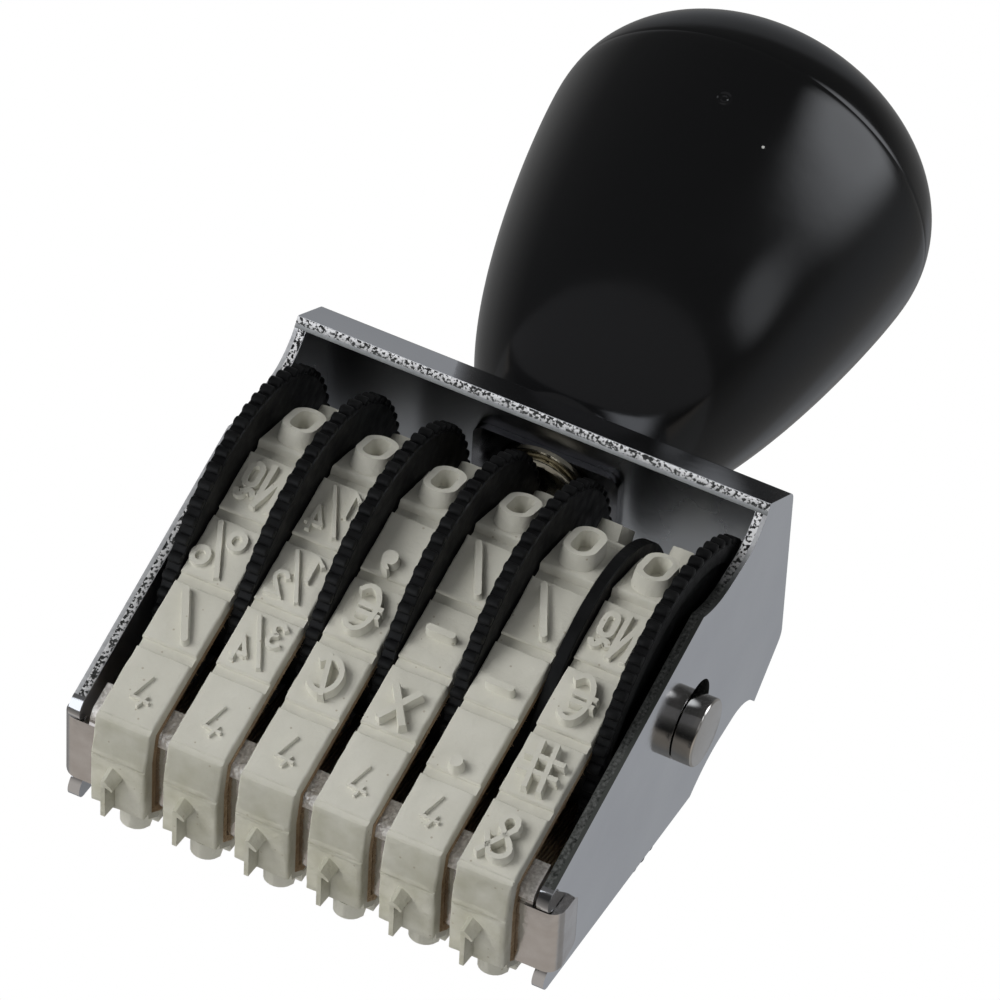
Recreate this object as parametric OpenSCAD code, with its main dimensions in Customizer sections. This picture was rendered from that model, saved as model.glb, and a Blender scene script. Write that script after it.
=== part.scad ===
// Roller number stamp: six rubber type bands turned by knurled wheels in a bent sheet frame.
// X runs along the wheel axle, the front is at -Y, and the "1" type faces lie on Z = 0.

/* [Wheels] */
// Radius of the finger flanges over the knurl
flange_r = 16.4; // [15:0.1:18]
// Thickness of a finger flange
flange_t = 1.3; // [1:0.1:1.6]
// Number of knurl ridges round a flange
knurl_n = 60; // [40:1:72]
// Height of the knurl ridges
knurl_h = 0.6; // [0.3:0.05:0.8]
// Width of the raised rim on the face of a flange
face_rim = 1.8; // [1.2:0.1:2.4]
// Depth of the recess inside that rim
face_recess = 0.35; // [0.2:0.05:0.5]
// Radius of the drums that carry the bands
drum_r = 9.7; // [9:0.1:10.5]
// Thickness of the smooth guide rim on the last wheel
guide_t = 1.1; // [0.8:0.1:1.4]
// How far the guide rim stands above the band faces
guide_rise = 1.3; // [0.6:0.1:1.8]
// Gap between one wheel and the next
wheel_gap = 0.1; // [0.06:0.02:0.2]
// Gap between the row of wheels and each cheek
end_gap = 0.5; // [0.3:0.05:0.8]

/* [Axle] */
// Diameter of the axle
axle_d = 6.3; // [5.6:0.1:7]
// Diameter of the axle where a cheek holds it
neck_d = 5.1; // [4.2:0.1:5.4]
// Length of the axle outside each cheek
stub_l = 1.95; // [1.2:0.05:3]
// Chamfer on the ends of the axle
axle_chamfer = 0.4; // [0.2:0.05:0.6]
// Running clearance between the wheels and the axle
bore_clear = 0.05; // [0.03:0.01:0.1]
// Clearance between the axle neck and its seat in a cheek
neck_clear = 0.07; // [0.04:0.01:0.1]
// Clearance along the axle on each side of a cheek
neck_side = 0.15; // [0.1:0.05:0.3]
// Clearance where the full axle passes the wide end of the keyhole
pass_clear = 0.2; // [0.1:0.05:0.4]
// How far the wide end of the keyhole lies above the axle
key_rise = 1.2; // [0.8:0.1:1.6]

/* [Bands] */
// Width of a type band
band_w = 5.1; // [4.4:0.1:6]
// Clearance on each side of a band
band_side = 0.15; // [0.1:0.05:0.3]
// Thickness of the rubber under the type
rubber_t = 1.5; // [1.3:0.05:1.8]
// Thickness of the woven liner
liner_t = 0.6; // [0.4:0.05:0.8]
// Clearance between the liner and the drum
band_play = 0.3; // [0.2:0.05:0.5]
// Number of type blocks from the front nose corner over the wheel to the back one
block_n = 13; // [12:1:14]
// Width of the grooves between blocks
groove_w = 0.6; // [0.4:0.05:0.9]
// Depth of those grooves
groove_d = 0.9; // [0.6:0.05:1]
// Height of the type above its block
relief = 1.55; // [1:0.05:2]
// Height of a figure
type_h = 4.8; // [4:0.1:5.4]
// Width of a figure
type_w = 2.9; // [2.2:0.1:3.6]
// Width of the strokes of the type
stroke_w = 0.7; // [0.5:0.05:0.9]

/* [Nose] */
// Distance from the axle to the underside of the nose bar
nose_drop = 26.5; // [24:0.1:30]
// Reach of the nose bar ahead of the axle, over its front bend
nose_ahead = 5.4; // [4.8:0.1:6]
// Reach of the nose bar behind the axle, over its back bend
nose_behind = 3.9; // [3.6:0.1:5]
// Sheet thickness of the nose bar
nose_t = 0.85; // [0.6:0.05:1]
// Outer radius of the bends of the nose bar
nose_bend = 1.3; // [1.1:0.1:1.8]
// Height of the nose bar walls
nose_wall = 2.2; // [1.6:0.1:4]
// Clearance of the wall ends from the cheeks
nose_end = 0.6; // [0.4:0.1:3]
// Clearance of a band from the bends of the nose bar
nose_play = 0.4; // [0.3:0.05:0.6]
// Seating clearance of thin parts on one another
seat = 0.05; // [0.03:0.01:0.1]
// Distance of the crease of a band ahead of the axle, where its flat under the nose begins
crease_y = 3.3; // [2.9:0.05:3.5]
// Length of the block of type under the nose
nose_face = 6; // [5.4:0.1:6.4]
// How much shorter the last block of a band is than the others
last_cut = 0.9; // [0.5:0.1:2]
// Angle of the blank block in front of that crease
nose_bevel = 12; // [8:1:18]
// Angle at which a band leaves the back of the nose
back_bevel = 48; // [44:1:54]
// Width of the ears of the nose bar at their foot
ear_w = 7.9; // [7:0.1:8.6]
// Width of the ears at their top
ear_top_w = 6.5; // [5:0.1:7]
// Height of the ears
ear_h = 3.6; // [2.6:0.1:5]

/* [Frame] */
// Sheet thickness of the frame
sheet_t = 1.1; // [0.8:0.05:1.4]
// Depth of the flat top of the web
web_d = 19; // [17:0.1:21]
// Depth across both sloped strips of the web
shoulder_d = 26.6; // [24:0.1:29]
// Height of the sloped strips
slope_h = 5.05; // [4:0.05:6]
// Depth of a cheek at its waist
waist_d = 20.8; // [18:0.1:22.5]
// Depth of a cheek where its lower taper starts
belly_d = 24.2; // [23:0.1:26]
// Height of that start above the axle
belly_rise = 2.1; // [1:0.1:3]
// Height of the waist above the axle
waist_rise = 9; // [8:0.1:10]
// Length of the straight part of the waist
waist_flat = 2.6; // [1:0.1:4]
// Depth of a cheek over its two prongs
prong_d = 12.9; // [12.4:0.1:14]
// How far the prong tips stop above the band faces
prong_lift = 1.65; // [1:0.05:2]
// Clearance of the nose bar in the notch between the prongs
notch_clear = 0.1; // [0.05:0.05:0.3]

/* [Fastening] */
// Gap between the screw head and the wheels
screw_gap = 0.35; // [0.3:0.05:0.8]
// Diameter of the screw head
head_d = 8; // [7:0.1:9]
// Thickness of the screw head
head_t = 1; // [0.8:0.05:1.4]
// Width of the driver slot
slot_w = 1.1; // [0.8:0.1:1.4]
// Depth of the driver slot
slot_depth = 0.5; // [0.3:0.05:0.6]
// Diameter of the screw shank
shank_d = 3.9; // [3.4:0.1:4.4]
// How far the screw reaches into the handle
screw_reach = 9; // [6:0.5:12]
// Clearance round the screw in its holes
screw_clear = 0.25; // [0.15:0.05:0.4]
// Outer diameter of the screw washer
washer_d = 9.4; // [8.4:0.1:10.4]
// Thickness of the screw washer
washer_t = 0.6; // [0.4:0.05:0.9]
// Length of the backing plate along the axle
plate_l = 14; // [12:0.5:18]
// Depth of the backing plate
plate_d = 8.2; // [7:0.1:12]
// Thickness of the backing plate
plate_t = 0.7; // [0.5:0.05:1]
// Corner radius of the backing plate
plate_r = 1.2; // [0.6:0.1:2]

/* [Handle] */
// Height of the handle
handle_h = 48.8; // [40:0.1:60]
// Greatest radius of the handle
handle_r = 18.15; // [16:0.05:22]
// Height of the widest ring above the web
handle_wide = 36.5; // [30:0.1:38]
// Radius of the foot of the handle
foot_r = 7.2; // [6:0.1:8.5]
// Height of the foot
foot_h = 1.6; // [1:0.1:3]
// How far the neck flares out of the foot
neck_flare = 7.8; // [5:0.1:9]
// How far the neck climbs while it flares
neck_climb = 6.6; // [4:0.1:9]
// How gently the neck turns into the widest ring
neck_ease = 3.8; // [2:0.1:8]
// Squareness of the crown, where 2 is an ellipse
crown_power = 2.16; // [2:0.02:2.6]
// Outer diameter of the threaded insert
insert_d = 6; // [5.4:0.1:7]
// Length of the threaded insert
insert_l = 10; // [8:0.5:14]
// Clearance between the screw and the insert
thread_clear = 0.05; // [0.03:0.01:0.1]
// Clearance between the insert and its pocket
insert_clear = 0.03; // [0.02:0.01:0.08]

/* [Hidden] */
$fn = 96;
wheel_n = 6;
eps = 0.2;

// The row of wheels and the frame around it
drum_w = band_w + 2 * band_side;
pitch = flange_t + drum_w + wheel_gap;
last_w = guide_t + drum_w + flange_t;
row_w = (wheel_n - 1) * pitch + last_w;
inner_w = row_w + 2 * end_gap;
frame_w = inner_w + 2 * sheet_t;
row_x = -row_w / 2;

// The loop of a band, measured from the axle
face_r = drum_r + band_play + liner_t + rubber_t;
face_drop = nose_drop + seat + liner_t + rubber_t;
axle_z = face_drop + relief;
inner_r = drum_r + band_play;
lean_z = nose_drop - nose_bend;
function lean_of(y) = atan2(lean_z, y) - acos(inner_r / norm([y, lean_z]));
lean_f = lean_of(nose_ahead + nose_play);
lean_b = lean_of(nose_behind + nose_play);
bevel_d = crease_y * sin(nose_bevel) + face_drop * cos(nose_bevel);
bend_f = nose_ahead - nose_bend;
bend_b = nose_behind - nose_bend;
back_d = bend_b * sin(back_bevel) + lean_z * cos(back_bevel) + nose_bend + seat + liner_t + rubber_t;
front = 180 + lean_f;
back = -lean_b;
arc_steps = 40;
pitch_r = face_r - rubber_t / 2;
block_h = rubber_t - 0.2;

// Meeting point of two lines, each given by the angle of its normal and its distance from the axle
function meet(a, da, b, db) = [da * sin(b) - db * sin(a), db * cos(a) - da * cos(b)] / sin(b - a);

function ray(a) = [cos(a), sin(a)];
function flip(p) = [-p[0], p[1]];
function corner_f(off) = flip(meet(-lean_f, face_r - off, nose_bevel - 90, bevel_d - off));
function flat_f(off) = flip(meet(nose_bevel - 90, bevel_d - off, -90, face_drop - off));
function corner_b(off) = meet(back, face_r - off, back_bevel - 90, back_d - off);
function flat_b(off) = meet(back_bevel - 90, back_d - off, -90, face_drop - off);

// Outline of the band loop, taken inward from the type block faces by off
function loop_pts(off) = concat(
  [for (i = [0:arc_steps]) (face_r - off) * ray(front + (back - front) * i / arc_steps)],
  [corner_b(off), flat_b(off), flat_f(off), corner_f(off)]
);

// Block places along the loop from the front nose corner: [y, z, angle of the face, length of the block]
corner_p = corner_f(0);
run_l = norm(corner_p - face_r * ray(front));
back_l = norm(corner_b(0) - face_r * ray(back));
arc_l = pitch_r * (front - back) * PI / 180;
loop_l = run_l + arc_l + back_l;
block_pitch = (loop_l + last_cut) / block_n;
block_l = block_pitch - groove_w;
last_s = (block_n - 1) * block_pitch;
function along(p, a, s) = [p[0] + s * sin(a), p[1] - s * cos(a), a];
function arc_a(s) = front - s / pitch_r * 180 / PI;
function on_arc(a) = [face_r * cos(a), face_r * sin(a), a];
function place(s) =
  s < run_l ? along(corner_p, front, s)
  : s < run_l + arc_l ? on_arc(arc_a(s - run_l))
  : along(face_r * ray(back), back, s - run_l - arc_l);
places = concat(
  [for (i = [0:block_n - 2]) concat(place((i + 0.5) * block_pitch), block_l)],
  [concat(place((last_s + loop_l) / 2), loop_l - last_s - groove_w)]
);
bevel_mid = (corner_f(0) + flat_f(0)) / 2;
bevel_front = [bevel_mid[0], bevel_mid[1], -nose_bevel - 90, norm(corner_f(0) - flat_f(0)) - groove_w];
nose_place = [groove_w / 2 + nose_face / 2 - crease_y, -face_drop, -90, nose_face];

// Type on each band: four signs up the front, then 0, and 9 down to 2 over the top and down the back,
// with 1 under the nose
signs = ["m/%n", "mchq", "mae.", "mx-/", "m.-/", "a#en"];
figures = "098765432";

// Strokes of a figure on a grid that runs from -1 to 1 both ways
SEGMENTS = [
  [[-1, 1], [1, 1]], [[1, 1], [1, 0]], [[1, 0], [1, -1]], [[-1, -1], [1, -1]],
  [[-1, -1], [-1, 0]], [[-1, 0], [-1, 1]], [[-1, 0], [1, 0]]
];
DIGITS = ["abcdef", "", "abged", "abgcd", "fgbc", "afgcd", "afgedc", "abc", "abcdefg", "abcdfg"];
function parts_of(letters) = [for (c = letters) SEGMENTS[ord(c) - ord("a")]];
SLASH = [[-0.8, -1], [0.8, 1]];
function strokes(g) =
  g == "1" ? [[[0, -1], [0, 1]], [[0, 1], [-0.8, 0.4]]]
  : g == "m" ? [[[0.3, -0.6], [0.3, 0.6]], [[0.3, 0.6], [-0.6, -0.2]], [[-0.6, -0.2], [0.7, -0.2]]]
  : g == "/" ? [SLASH]
  : g == "%" ? [SLASH, [[-0.9, 0.9], [-0.7, 0.6]], [[0.7, -0.6], [0.9, -0.9]]]
  : g == "n" ? [[[-1, -1], [-1, 1]], [[-1, 1], [0.2, -1]], [[0.2, -1], [0.2, 1]], [[0.9, 0.2], [0.9, 0.8]]]
  : g == "c" ? [SLASH, [[-1, 0.4], [-1, 0.9]], [[1, -0.4], [1, -0.9]]]
  : g == "q" ? [SLASH, [[-0.9, 0.2], [-0.9, 1]], [[0.9, -0.2], [0.9, -1]]]
  : g == "h" ? [SLASH, [[-0.9, 0.2], [-0.9, 1]], [[0.4, -0.9], [1, -0.9]]]
  : g == "a" ? concat(parts_of("abcdef"), [[[-0.2, 0], [0.4, 0]]])
  : g == "e" ? concat(parts_of("afed"), [[[-1.2, 0.2], [0.5, 0.2]], [[-1.2, -0.2], [0.4, -0.2]]])
  : g == "#" ? concat(
    [[[-0.5, -0.9], [-0.5, 0.9]], [[0.5, -0.9], [0.5, 0.9]]],
    [[[-1, 0.4], [1, 0.4]], [[-1, -0.4], [1, -0.4]]]
  )
  : g == "x" ? [[[-0.8, -0.6], [0.8, 0.6]], [[-0.8, 0.6], [0.8, -0.6]]]
  : g == "-" ? [[[-0.9, 0], [0.9, 0]]]
  : g == "." ? [[[-0.1, -0.9], [0.1, -0.9]]]
  : g == " " ? []
  : parts_of(DIGITS[ord(g) - ord("0")]);

// The fastening stack under the web, from the wheels up
head_z = axle_z + flange_r + screw_gap;
washer_z = head_z + head_t;
plate_z = washer_z + washer_t;
web_under = plate_z + plate_t;
web_top = web_under + sheet_t;

// Cheek outline, measured from the axle
web_rise = web_top - axle_z;
shoulder_rise = web_rise - slope_h;
prong_drop = face_drop - prong_lift;
notch_drop = nose_drop - nose_t - seat;
notch_w = ear_w + 2 * notch_clear;
prong_r = (prong_d - notch_w) / 4;
curve_steps = 6;
function curve(a, b, c) = [
  for (i = [0:curve_steps])
    let (t = i / curve_steps)
    (1 - t) * (1 - t) * a + 2 * t * (1 - t) * b + t * t * c
];
function tip(y, steps) = [
  for (i = [0:steps])
    [y, prong_r - prong_drop] + prong_r * ray(-180 * i / steps)
];
tip_y = prong_d / 2 - prong_r;
waist_hi = waist_rise + waist_flat / 2;
waist_lo = waist_rise - waist_flat / 2;
half_cheek = concat(
  [[web_d / 2, web_rise]],
  curve(
    [shoulder_d / 2, shoulder_rise],
    [waist_d / 2, (shoulder_rise + waist_hi) / 2],
    [waist_d / 2, waist_hi]
  ),
  curve([waist_d / 2, waist_lo], [waist_d / 2, (belly_rise + waist_lo) / 2], [belly_d / 2, belly_rise]),
  tip(tip_y, 6),
  [[notch_w / 2, -notch_drop]]
);
function reversed(pts) = [for (i = [len(pts) - 1:-1:0]) pts[i]];
function other_half(pts) = [for (p = reversed(pts)) flip(p)];
cheek_pts = concat(half_cheek, other_half(half_cheek));
key_r = axle_d / 2 + pass_clear;
seat_r = neck_d / 2 + neck_clear;

// Rounded rectangle centred on the origin
function round_rect(l, d, r) = [
  for (q = [0:3])
    for (i = [0:4])
      let (sx = q == 0 || q == 3 ? 1 : -1)
      let (sy = q < 2 ? 1 : -1)
      [sx * (l / 2 - r), sy * (d / 2 - r)] + r * ray(90 * q + 22.5 * i)
];

// Profile of the handle: foot, swelling neck and crown
neck_p = [foot_r, foot_h];
neck_c1 = [foot_r + neck_flare, foot_h + neck_climb];
neck_c2 = [handle_r, handle_wide - neck_ease];
wide_p = [handle_r, handle_wide];
handle_steps = 14;
function neck_at(t) =
  pow(1 - t, 3) * neck_p + 3 * pow(1 - t, 2) * t * neck_c1
  + 3 * (1 - t) * t * t * neck_c2 + pow(t, 3) * wide_p;
crown_h = handle_h - handle_wide;
function crown_at(a) = [
  handle_r * pow(cos(a), 2 / crown_power),
  handle_wide + crown_h * pow(sin(a), 2 / crown_power)
];
handle_pts = concat(
  [[0, 0], [foot_r, 0]],
  [for (i = [0:handle_steps]) neck_at(i / handle_steps)],
  [for (i = [1:handle_steps - 1]) crown_at(90 * i / handle_steps)],
  [[0, handle_h]]
);

// Profile of the nose bar across the axle: it follows the crease of the bands in front, and is flat behind
bend_steps = 5;
bar_off = rubber_t + liner_t + seat;
bend_z = (bevel_d - bar_off - nose_bend - bend_f * sin(nose_bevel)) / cos(nose_bevel);
function bend_arc(p, a, lean, r) = [
  for (i = [0:bend_steps])
    p + r * ray(a - 90 + (90 - a - lean) * i / bend_steps)
];
function with_wall(pts, lean) = concat(pts, [pts[len(pts) - 1] + nose_wall * [sin(lean), cos(lean)]]);
function bar_side(p, a, lean, r) = with_wall(bend_arc(p, a, lean, r), lean);
function bar_front(r) = concat(
  [flip(flat_f(bar_off + nose_bend - r))],
  bar_side([bend_f, -bend_z], nose_bevel, lean_f, r)
);
function bar_line(r) = concat(other_half(bar_front(r)), bar_side([bend_b, -lean_z], 0, lean_b, r));
nose_pts = concat(bar_line(nose_bend), reversed(bar_line(nose_bend - nose_t)));
ear_x = frame_w / 2 + seat;

// Extrude a (y, z) outline along X from x0
module along_x(x0, l) {
  translate([x0, 0, 0]) rotate([90, 0, 90]) linear_extrude(l) children();
}

// Round bar or hole along X, centred on the axle
module shaft(r, x0, l) {
  translate([x0, 0, axle_z]) rotate([0, 90, 0]) cylinder(r = r, h = l);
}

module cheek(x0) {
  difference() {
    translate([0, 0, axle_z]) along_x(x0, sheet_t) polygon(cheek_pts);
    shaft(seat_r, x0 - eps, sheet_t + 2 * eps);
    translate([0, 0, key_rise]) shaft(key_r, x0 - eps, sheet_t + 2 * eps);
  }
}

// Web with its two sloped strips, as one bent sheet
slope_v = [(shoulder_d - web_d) / 2, -slope_h];
slope_n = [slope_v[1], -slope_v[0]] / norm(slope_v) * sheet_t;
strip_out = [shoulder_d / 2, web_top - slope_h];
strip_in = strip_out + slope_n;
web_in_y = strip_in[0] - slope_v[0] * (web_under - strip_in[1]) / slope_h;
half_web = [[web_d / 2, web_top], strip_out, strip_in, [web_in_y, web_under]];

module frame() {
  color("silver") difference() {
    union() {
      along_x(-frame_w / 2, frame_w) polygon(concat(half_web, other_half(half_web)));
      cheek(-frame_w / 2);
      cheek(inner_w / 2);
    }
    translate([0, 0, web_under - eps]) cylinder(d = shank_d + 2 * screw_clear, h = sheet_t + 2 * eps);
  }
}

module handle() {
  color("black") difference() {
    translate([0, 0, web_top]) rotate_extrude() polygon(handle_pts);
    translate([0, 0, web_top - eps]) cylinder(d = insert_d + 2 * insert_clear, h = insert_l + seat + eps);
  }
}

module handle_insert() {
  color("goldenrod") translate([0, 0, web_top]) difference() {
    cylinder(d = insert_d, h = insert_l);
    translate([0, 0, -eps]) cylinder(d = shank_d + 2 * thread_clear, h = insert_l + 2 * eps);
  }
}

module handle_screw() {
  color("silver") difference() {
    union() {
      translate([0, 0, head_z]) cylinder(d = head_d, h = head_t);
      translate([0, 0, washer_z - eps]) cylinder(d = shank_d, h = web_top + screw_reach - washer_z + eps);
    }
    translate([-head_d, -slot_w / 2, head_z - eps]) cube([2 * head_d, slot_w, slot_depth + eps]);
  }
}

module screw_washer() {
  color("silver") translate([0, 0, washer_z]) difference() {
    cylinder(d = washer_d, h = washer_t);
    translate([0, 0, -eps]) cylinder(d = shank_d + 2 * screw_clear, h = washer_t + 2 * eps);
  }
}

module backing_plate() {
  color("silver") translate([0, 0, plate_z]) difference() {
    linear_extrude(plate_t) polygon(round_rect(plate_l, plate_d, plate_r));
    translate([0, 0, -eps]) cylinder(d = shank_d + 2 * screw_clear, h = plate_t + 2 * eps);
  }
}

// Half of the axle's profile: [distance along the axle, radius]
neck_x = inner_w / 2 - neck_side;
neck_l = sheet_t + 2 * neck_side;
axle_end = frame_w / 2 + stub_l;
axle_r = axle_d / 2;
half_axle = [
  [neck_x, axle_r], [neck_x, neck_d / 2], [neck_x + neck_l, neck_d / 2], [neck_x + neck_l, axle_r],
  [axle_end - axle_chamfer, axle_r], [axle_end, axle_r - axle_chamfer], [axle_end, 0]
];

module axle() {
  pts = concat(half_axle, other_half(half_axle));
  color("gainsboro") translate([0, 0, axle_z]) rotate([0, 90, 0]) rotate_extrude()
    polygon([for (p = pts) [p[1], p[0]]]);
}

module nose_bar() {
  bar_l = inner_w - 2 * nose_end;
  flat_y = flat_f(bar_off)[0];
  tongue_x = row_w / 2 - flange_t - band_side + seat;
  ear_out = ear_x + nose_t;
  top = -nose_drop + ear_h;
  color("rosybrown") translate([0, 0, axle_z]) {
    along_x(-bar_l / 2, bar_l) polygon(nose_pts);
    along_x(-ear_out, 2 * ear_out) translate([flat_y, -nose_drop]) square([bend_b - flat_y, nose_t]);
    for (x0 = [-ear_out, tongue_x])
      along_x(x0, ear_out - tongue_x) translate([-ear_w / 2, -nose_drop]) square([ear_w, nose_t]);
    for (x0 = [-ear_out, ear_x])
      along_x(x0, nose_t) polygon([
        [-ear_w / 2, -nose_drop], [ear_w / 2, -nose_drop],
        [ear_top_w / 2, top], [-ear_top_w / 2, top]
      ]);
  }
}

// Knurled flange, with its recessed face on the side named by side (-1 left, 1 right)
function knurl_pt(i) = (i % 2 == 0 ? flange_r : flange_r - knurl_h) * ray(180 * (i + 0.5) / knurl_n);
knurl_pts = [for (i = [0:2 * knurl_n - 1]) knurl_pt(i)];

module flange(x0, side) {
  recess_x = side < 0 ? x0 - eps : x0 + flange_t - face_recess;
  difference() {
    translate([0, 0, axle_z]) along_x(x0, flange_t) polygon(knurl_pts);
    shaft(flange_r - knurl_h - face_rim, recess_x, face_recess + eps);
  }
}

module wheel(k) {
  x0 = row_x + (k - 1) * pitch;
  w = k < wheel_n ? flange_t + drum_w : last_w;
  color([0.1, 0.1, 0.1]) difference() {
    union() {
      if (k < wheel_n) flange(x0, -1);
      if (k == wheel_n) flange(x0 + last_w - flange_t, 1);
      if (k == wheel_n) shaft(face_r + guide_rise, x0, guide_t);
      shaft(drum_r, x0 + face_recess, w - 2 * face_recess);
      shaft(drum_r - face_rim, x0, w);
    }
    shaft(axle_d / 2 + bore_clear, x0 - eps, w + 2 * eps);
  }
}

module wheel_1() { wheel(1); }
module wheel_2() { wheel(2); }
module wheel_3() { wheel(3); }
module wheel_4() { wheel(4); }
module wheel_5() { wheel(5); }
module wheel_6() { wheel(6); }

// Left side of a band
function band_x(k) = row_x + (k - 1) * pitch + (k < wheel_n ? flange_t : guide_t) + band_side;

// One type block in the (y, z) plane, its face through p
module block(p, l) {
  translate([p[0], p[1]]) rotate(p[2]) translate([-block_h, -l / 2]) square([block_h, l]);
}

module bar(a, b) {
  l = norm(b - a);
  translate(a) rotate(atan2(b[1] - a[1], b[0] - a[0])) translate([-stroke_w / 2, -stroke_w / 2])
    square([l + stroke_w, stroke_w]);
}

// A figure of height h standing on the block face at p, reversed as type is
module type_on(p, g, h) {
  half = [stroke_w - type_w, h - stroke_w] / 2;
  if (g != " ")
    translate([band_w / 2, p[0], p[1]]) rotate([p[2] - 90, 0, 0]) translate([0, 0, -eps])
      linear_extrude(relief + eps)
        for (s = strokes(g))
          bar([s[0][0] * half[0], s[0][1] * half[1]], [s[1][0] * half[0], s[1][1] * half[1]]);
}

module type_band(k) {
  text_k = str(signs[k - 1], figures);
  color([0.73, 0.72, 0.67]) translate([band_x(k), 0, axle_z]) {
    along_x(0, band_w) {
      difference() {
        polygon(loop_pts(groove_d));
        polygon(loop_pts(rubber_t));
      }
      for (p = places) block(p, p[3]);
      block(nose_place, nose_place[3]);
      block(bevel_front, bevel_front[3]);
    }
    for (i = [0:block_n - 1]) type_on(places[i], text_k[i], min(type_h, places[i][3]));
    type_on(nose_place, "1", type_h);
  }
}

module type_band_1() { type_band(1); }
module type_band_2() { type_band(2); }
module type_band_3() { type_band(3); }
module type_band_4() { type_band(4); }
module type_band_5() { type_band(5); }
module type_band_6() { type_band(6); }

module band_liner(k) {
  color([0.43, 0.37, 0.29]) translate([band_x(k), 0, axle_z]) along_x(0, band_w) difference() {
    polygon(loop_pts(rubber_t));
    polygon(loop_pts(rubber_t + liner_t));
  }
}

module band_liner_1() { band_liner(1); }
module band_liner_2() { band_liner(2); }
module band_liner_3() { band_liner(3); }
module band_liner_4() { band_liner(4); }
module band_liner_5() { band_liner(5); }
module band_liner_6() { band_liner(6); }

frame();
handle();
handle_insert();
handle_screw();
screw_washer();
backing_plate();
axle();
nose_bar();
wheel_1();
wheel_2();
wheel_3();
wheel_4();
wheel_5();
wheel_6();
type_band_1();
type_band_2();
type_band_3();
type_band_4();
type_band_5();
type_band_6();
band_liner_1();
band_liner_2();
band_liner_3();
band_liner_4();
band_liner_5();
band_liner_6();
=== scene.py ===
# %% [markdown]
# # Roller number stamp
# A hand stamp: a black knob on a plated sheet frame, six knurled wheels on one axle, and six rubber
# type bands that run from the wheels round a nose bar. The exact solids come in first as the frame.
# Every piece made here stands for one of those solids, so sizes and places come from the solids.

import math

import bmesh
import bpy
from mathutils import Matrix, Vector


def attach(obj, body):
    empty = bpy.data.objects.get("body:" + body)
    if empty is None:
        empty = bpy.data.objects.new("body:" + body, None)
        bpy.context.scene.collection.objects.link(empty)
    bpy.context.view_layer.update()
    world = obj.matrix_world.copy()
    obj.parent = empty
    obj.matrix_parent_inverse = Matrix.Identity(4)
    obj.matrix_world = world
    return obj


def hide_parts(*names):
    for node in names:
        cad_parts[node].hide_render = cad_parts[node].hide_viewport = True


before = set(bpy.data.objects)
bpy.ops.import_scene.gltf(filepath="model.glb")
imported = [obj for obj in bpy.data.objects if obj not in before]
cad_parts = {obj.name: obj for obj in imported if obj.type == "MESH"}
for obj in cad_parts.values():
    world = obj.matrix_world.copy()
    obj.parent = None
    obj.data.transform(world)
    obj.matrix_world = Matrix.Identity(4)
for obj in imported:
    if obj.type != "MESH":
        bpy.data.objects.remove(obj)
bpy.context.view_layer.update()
scene = bpy.context.scene
MM = 0.001
print("solids in the frame:", len(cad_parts))

# %% [markdown]
# ## The camera
# The photograph looks up at the stamp from the front, below and a little to the right, through a long
# lens. A camera could be placed by eye, but then no edge would line up. Here its place, its axes and its
# focal length were worked out from the corners of the frame, so they are written as measured.

# %% Camera
PHOTO_PX = 1000
FOCAL_PX = 10157.8
EYE = Vector((228.18, -670.29, -470.92)) * MM
LOOK_RIGHT = Vector((0.89520, -0.03399, 0.44438))
LOOK_UP = Vector((-0.35971, -0.64379, 0.67539))
LOOK_BACK = Vector((0.26313, -0.76445, -0.58854))

lens = bpy.data.cameras.new("photo_camera")
lens.sensor_width = 36
lens.lens = FOCAL_PX * lens.sensor_width / PHOTO_PX
lens.clip_start = 0.05
lens.clip_end = 20
camera = bpy.data.objects.new("photo_camera", lens)
look = Matrix((LOOK_RIGHT, LOOK_UP, LOOK_BACK)).transposed().to_4x4()
camera.matrix_world = Matrix.Translation(EYE) @ look
scene.collection.objects.link(camera)
scene.camera = camera
print("lens, mm:", round(lens.lens, 1))

# %% [markdown]
# ## The studio
# The photograph has a white background, but the plate in it doesn't mirror white: it mirrors a grey room,
# lighter at the back than at the front. So the camera sees white, and reflections see the grey room. The
# camera is lower than the floor, so the floor is clear from behind and lets light through to the type.
# From above the floor is pale, and in reflections it has a dark strip under the nose and a warm light back.
# Nodes are many here, so one helper adds a node and fills its inputs with values or with other nodes.

# %% World
scene.view_settings.view_transform = "Standard"
WHITE = (1, 1, 1, 1)
ROOM_GREY, MIRROR_FRONT, MIRROR_BACK = 0.2, 0.1, 0.24
TIMES, LARGER, LESS = ({"operation": name} for name in ("MULTIPLY", "MAXIMUM", "LESS_THAN"))
SMOOTH = {"interpolation_type": "SMOOTHSTEP"}


def add(tree, kind, *values, setup=None, **named):
    """A new node. Values fill its inputs in order, named ones by label. A node stands for its first output."""
    n = tree.nodes.new(kind)
    for key, value in (setup or {}).items():
        setattr(n, key, value)
    pairs = [*zip(n.inputs, values), *((n.inputs[k.replace("_", " ")], v) for k, v in named.items())]
    for socket, value in pairs:
        if isinstance(value, bpy.types.Node):
            value = value.outputs[0]
        if isinstance(value, bpy.types.NodeSocket):
            tree.links.new(value, socket)
        elif value is not None:
            socket.default_value = value
    return n


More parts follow.
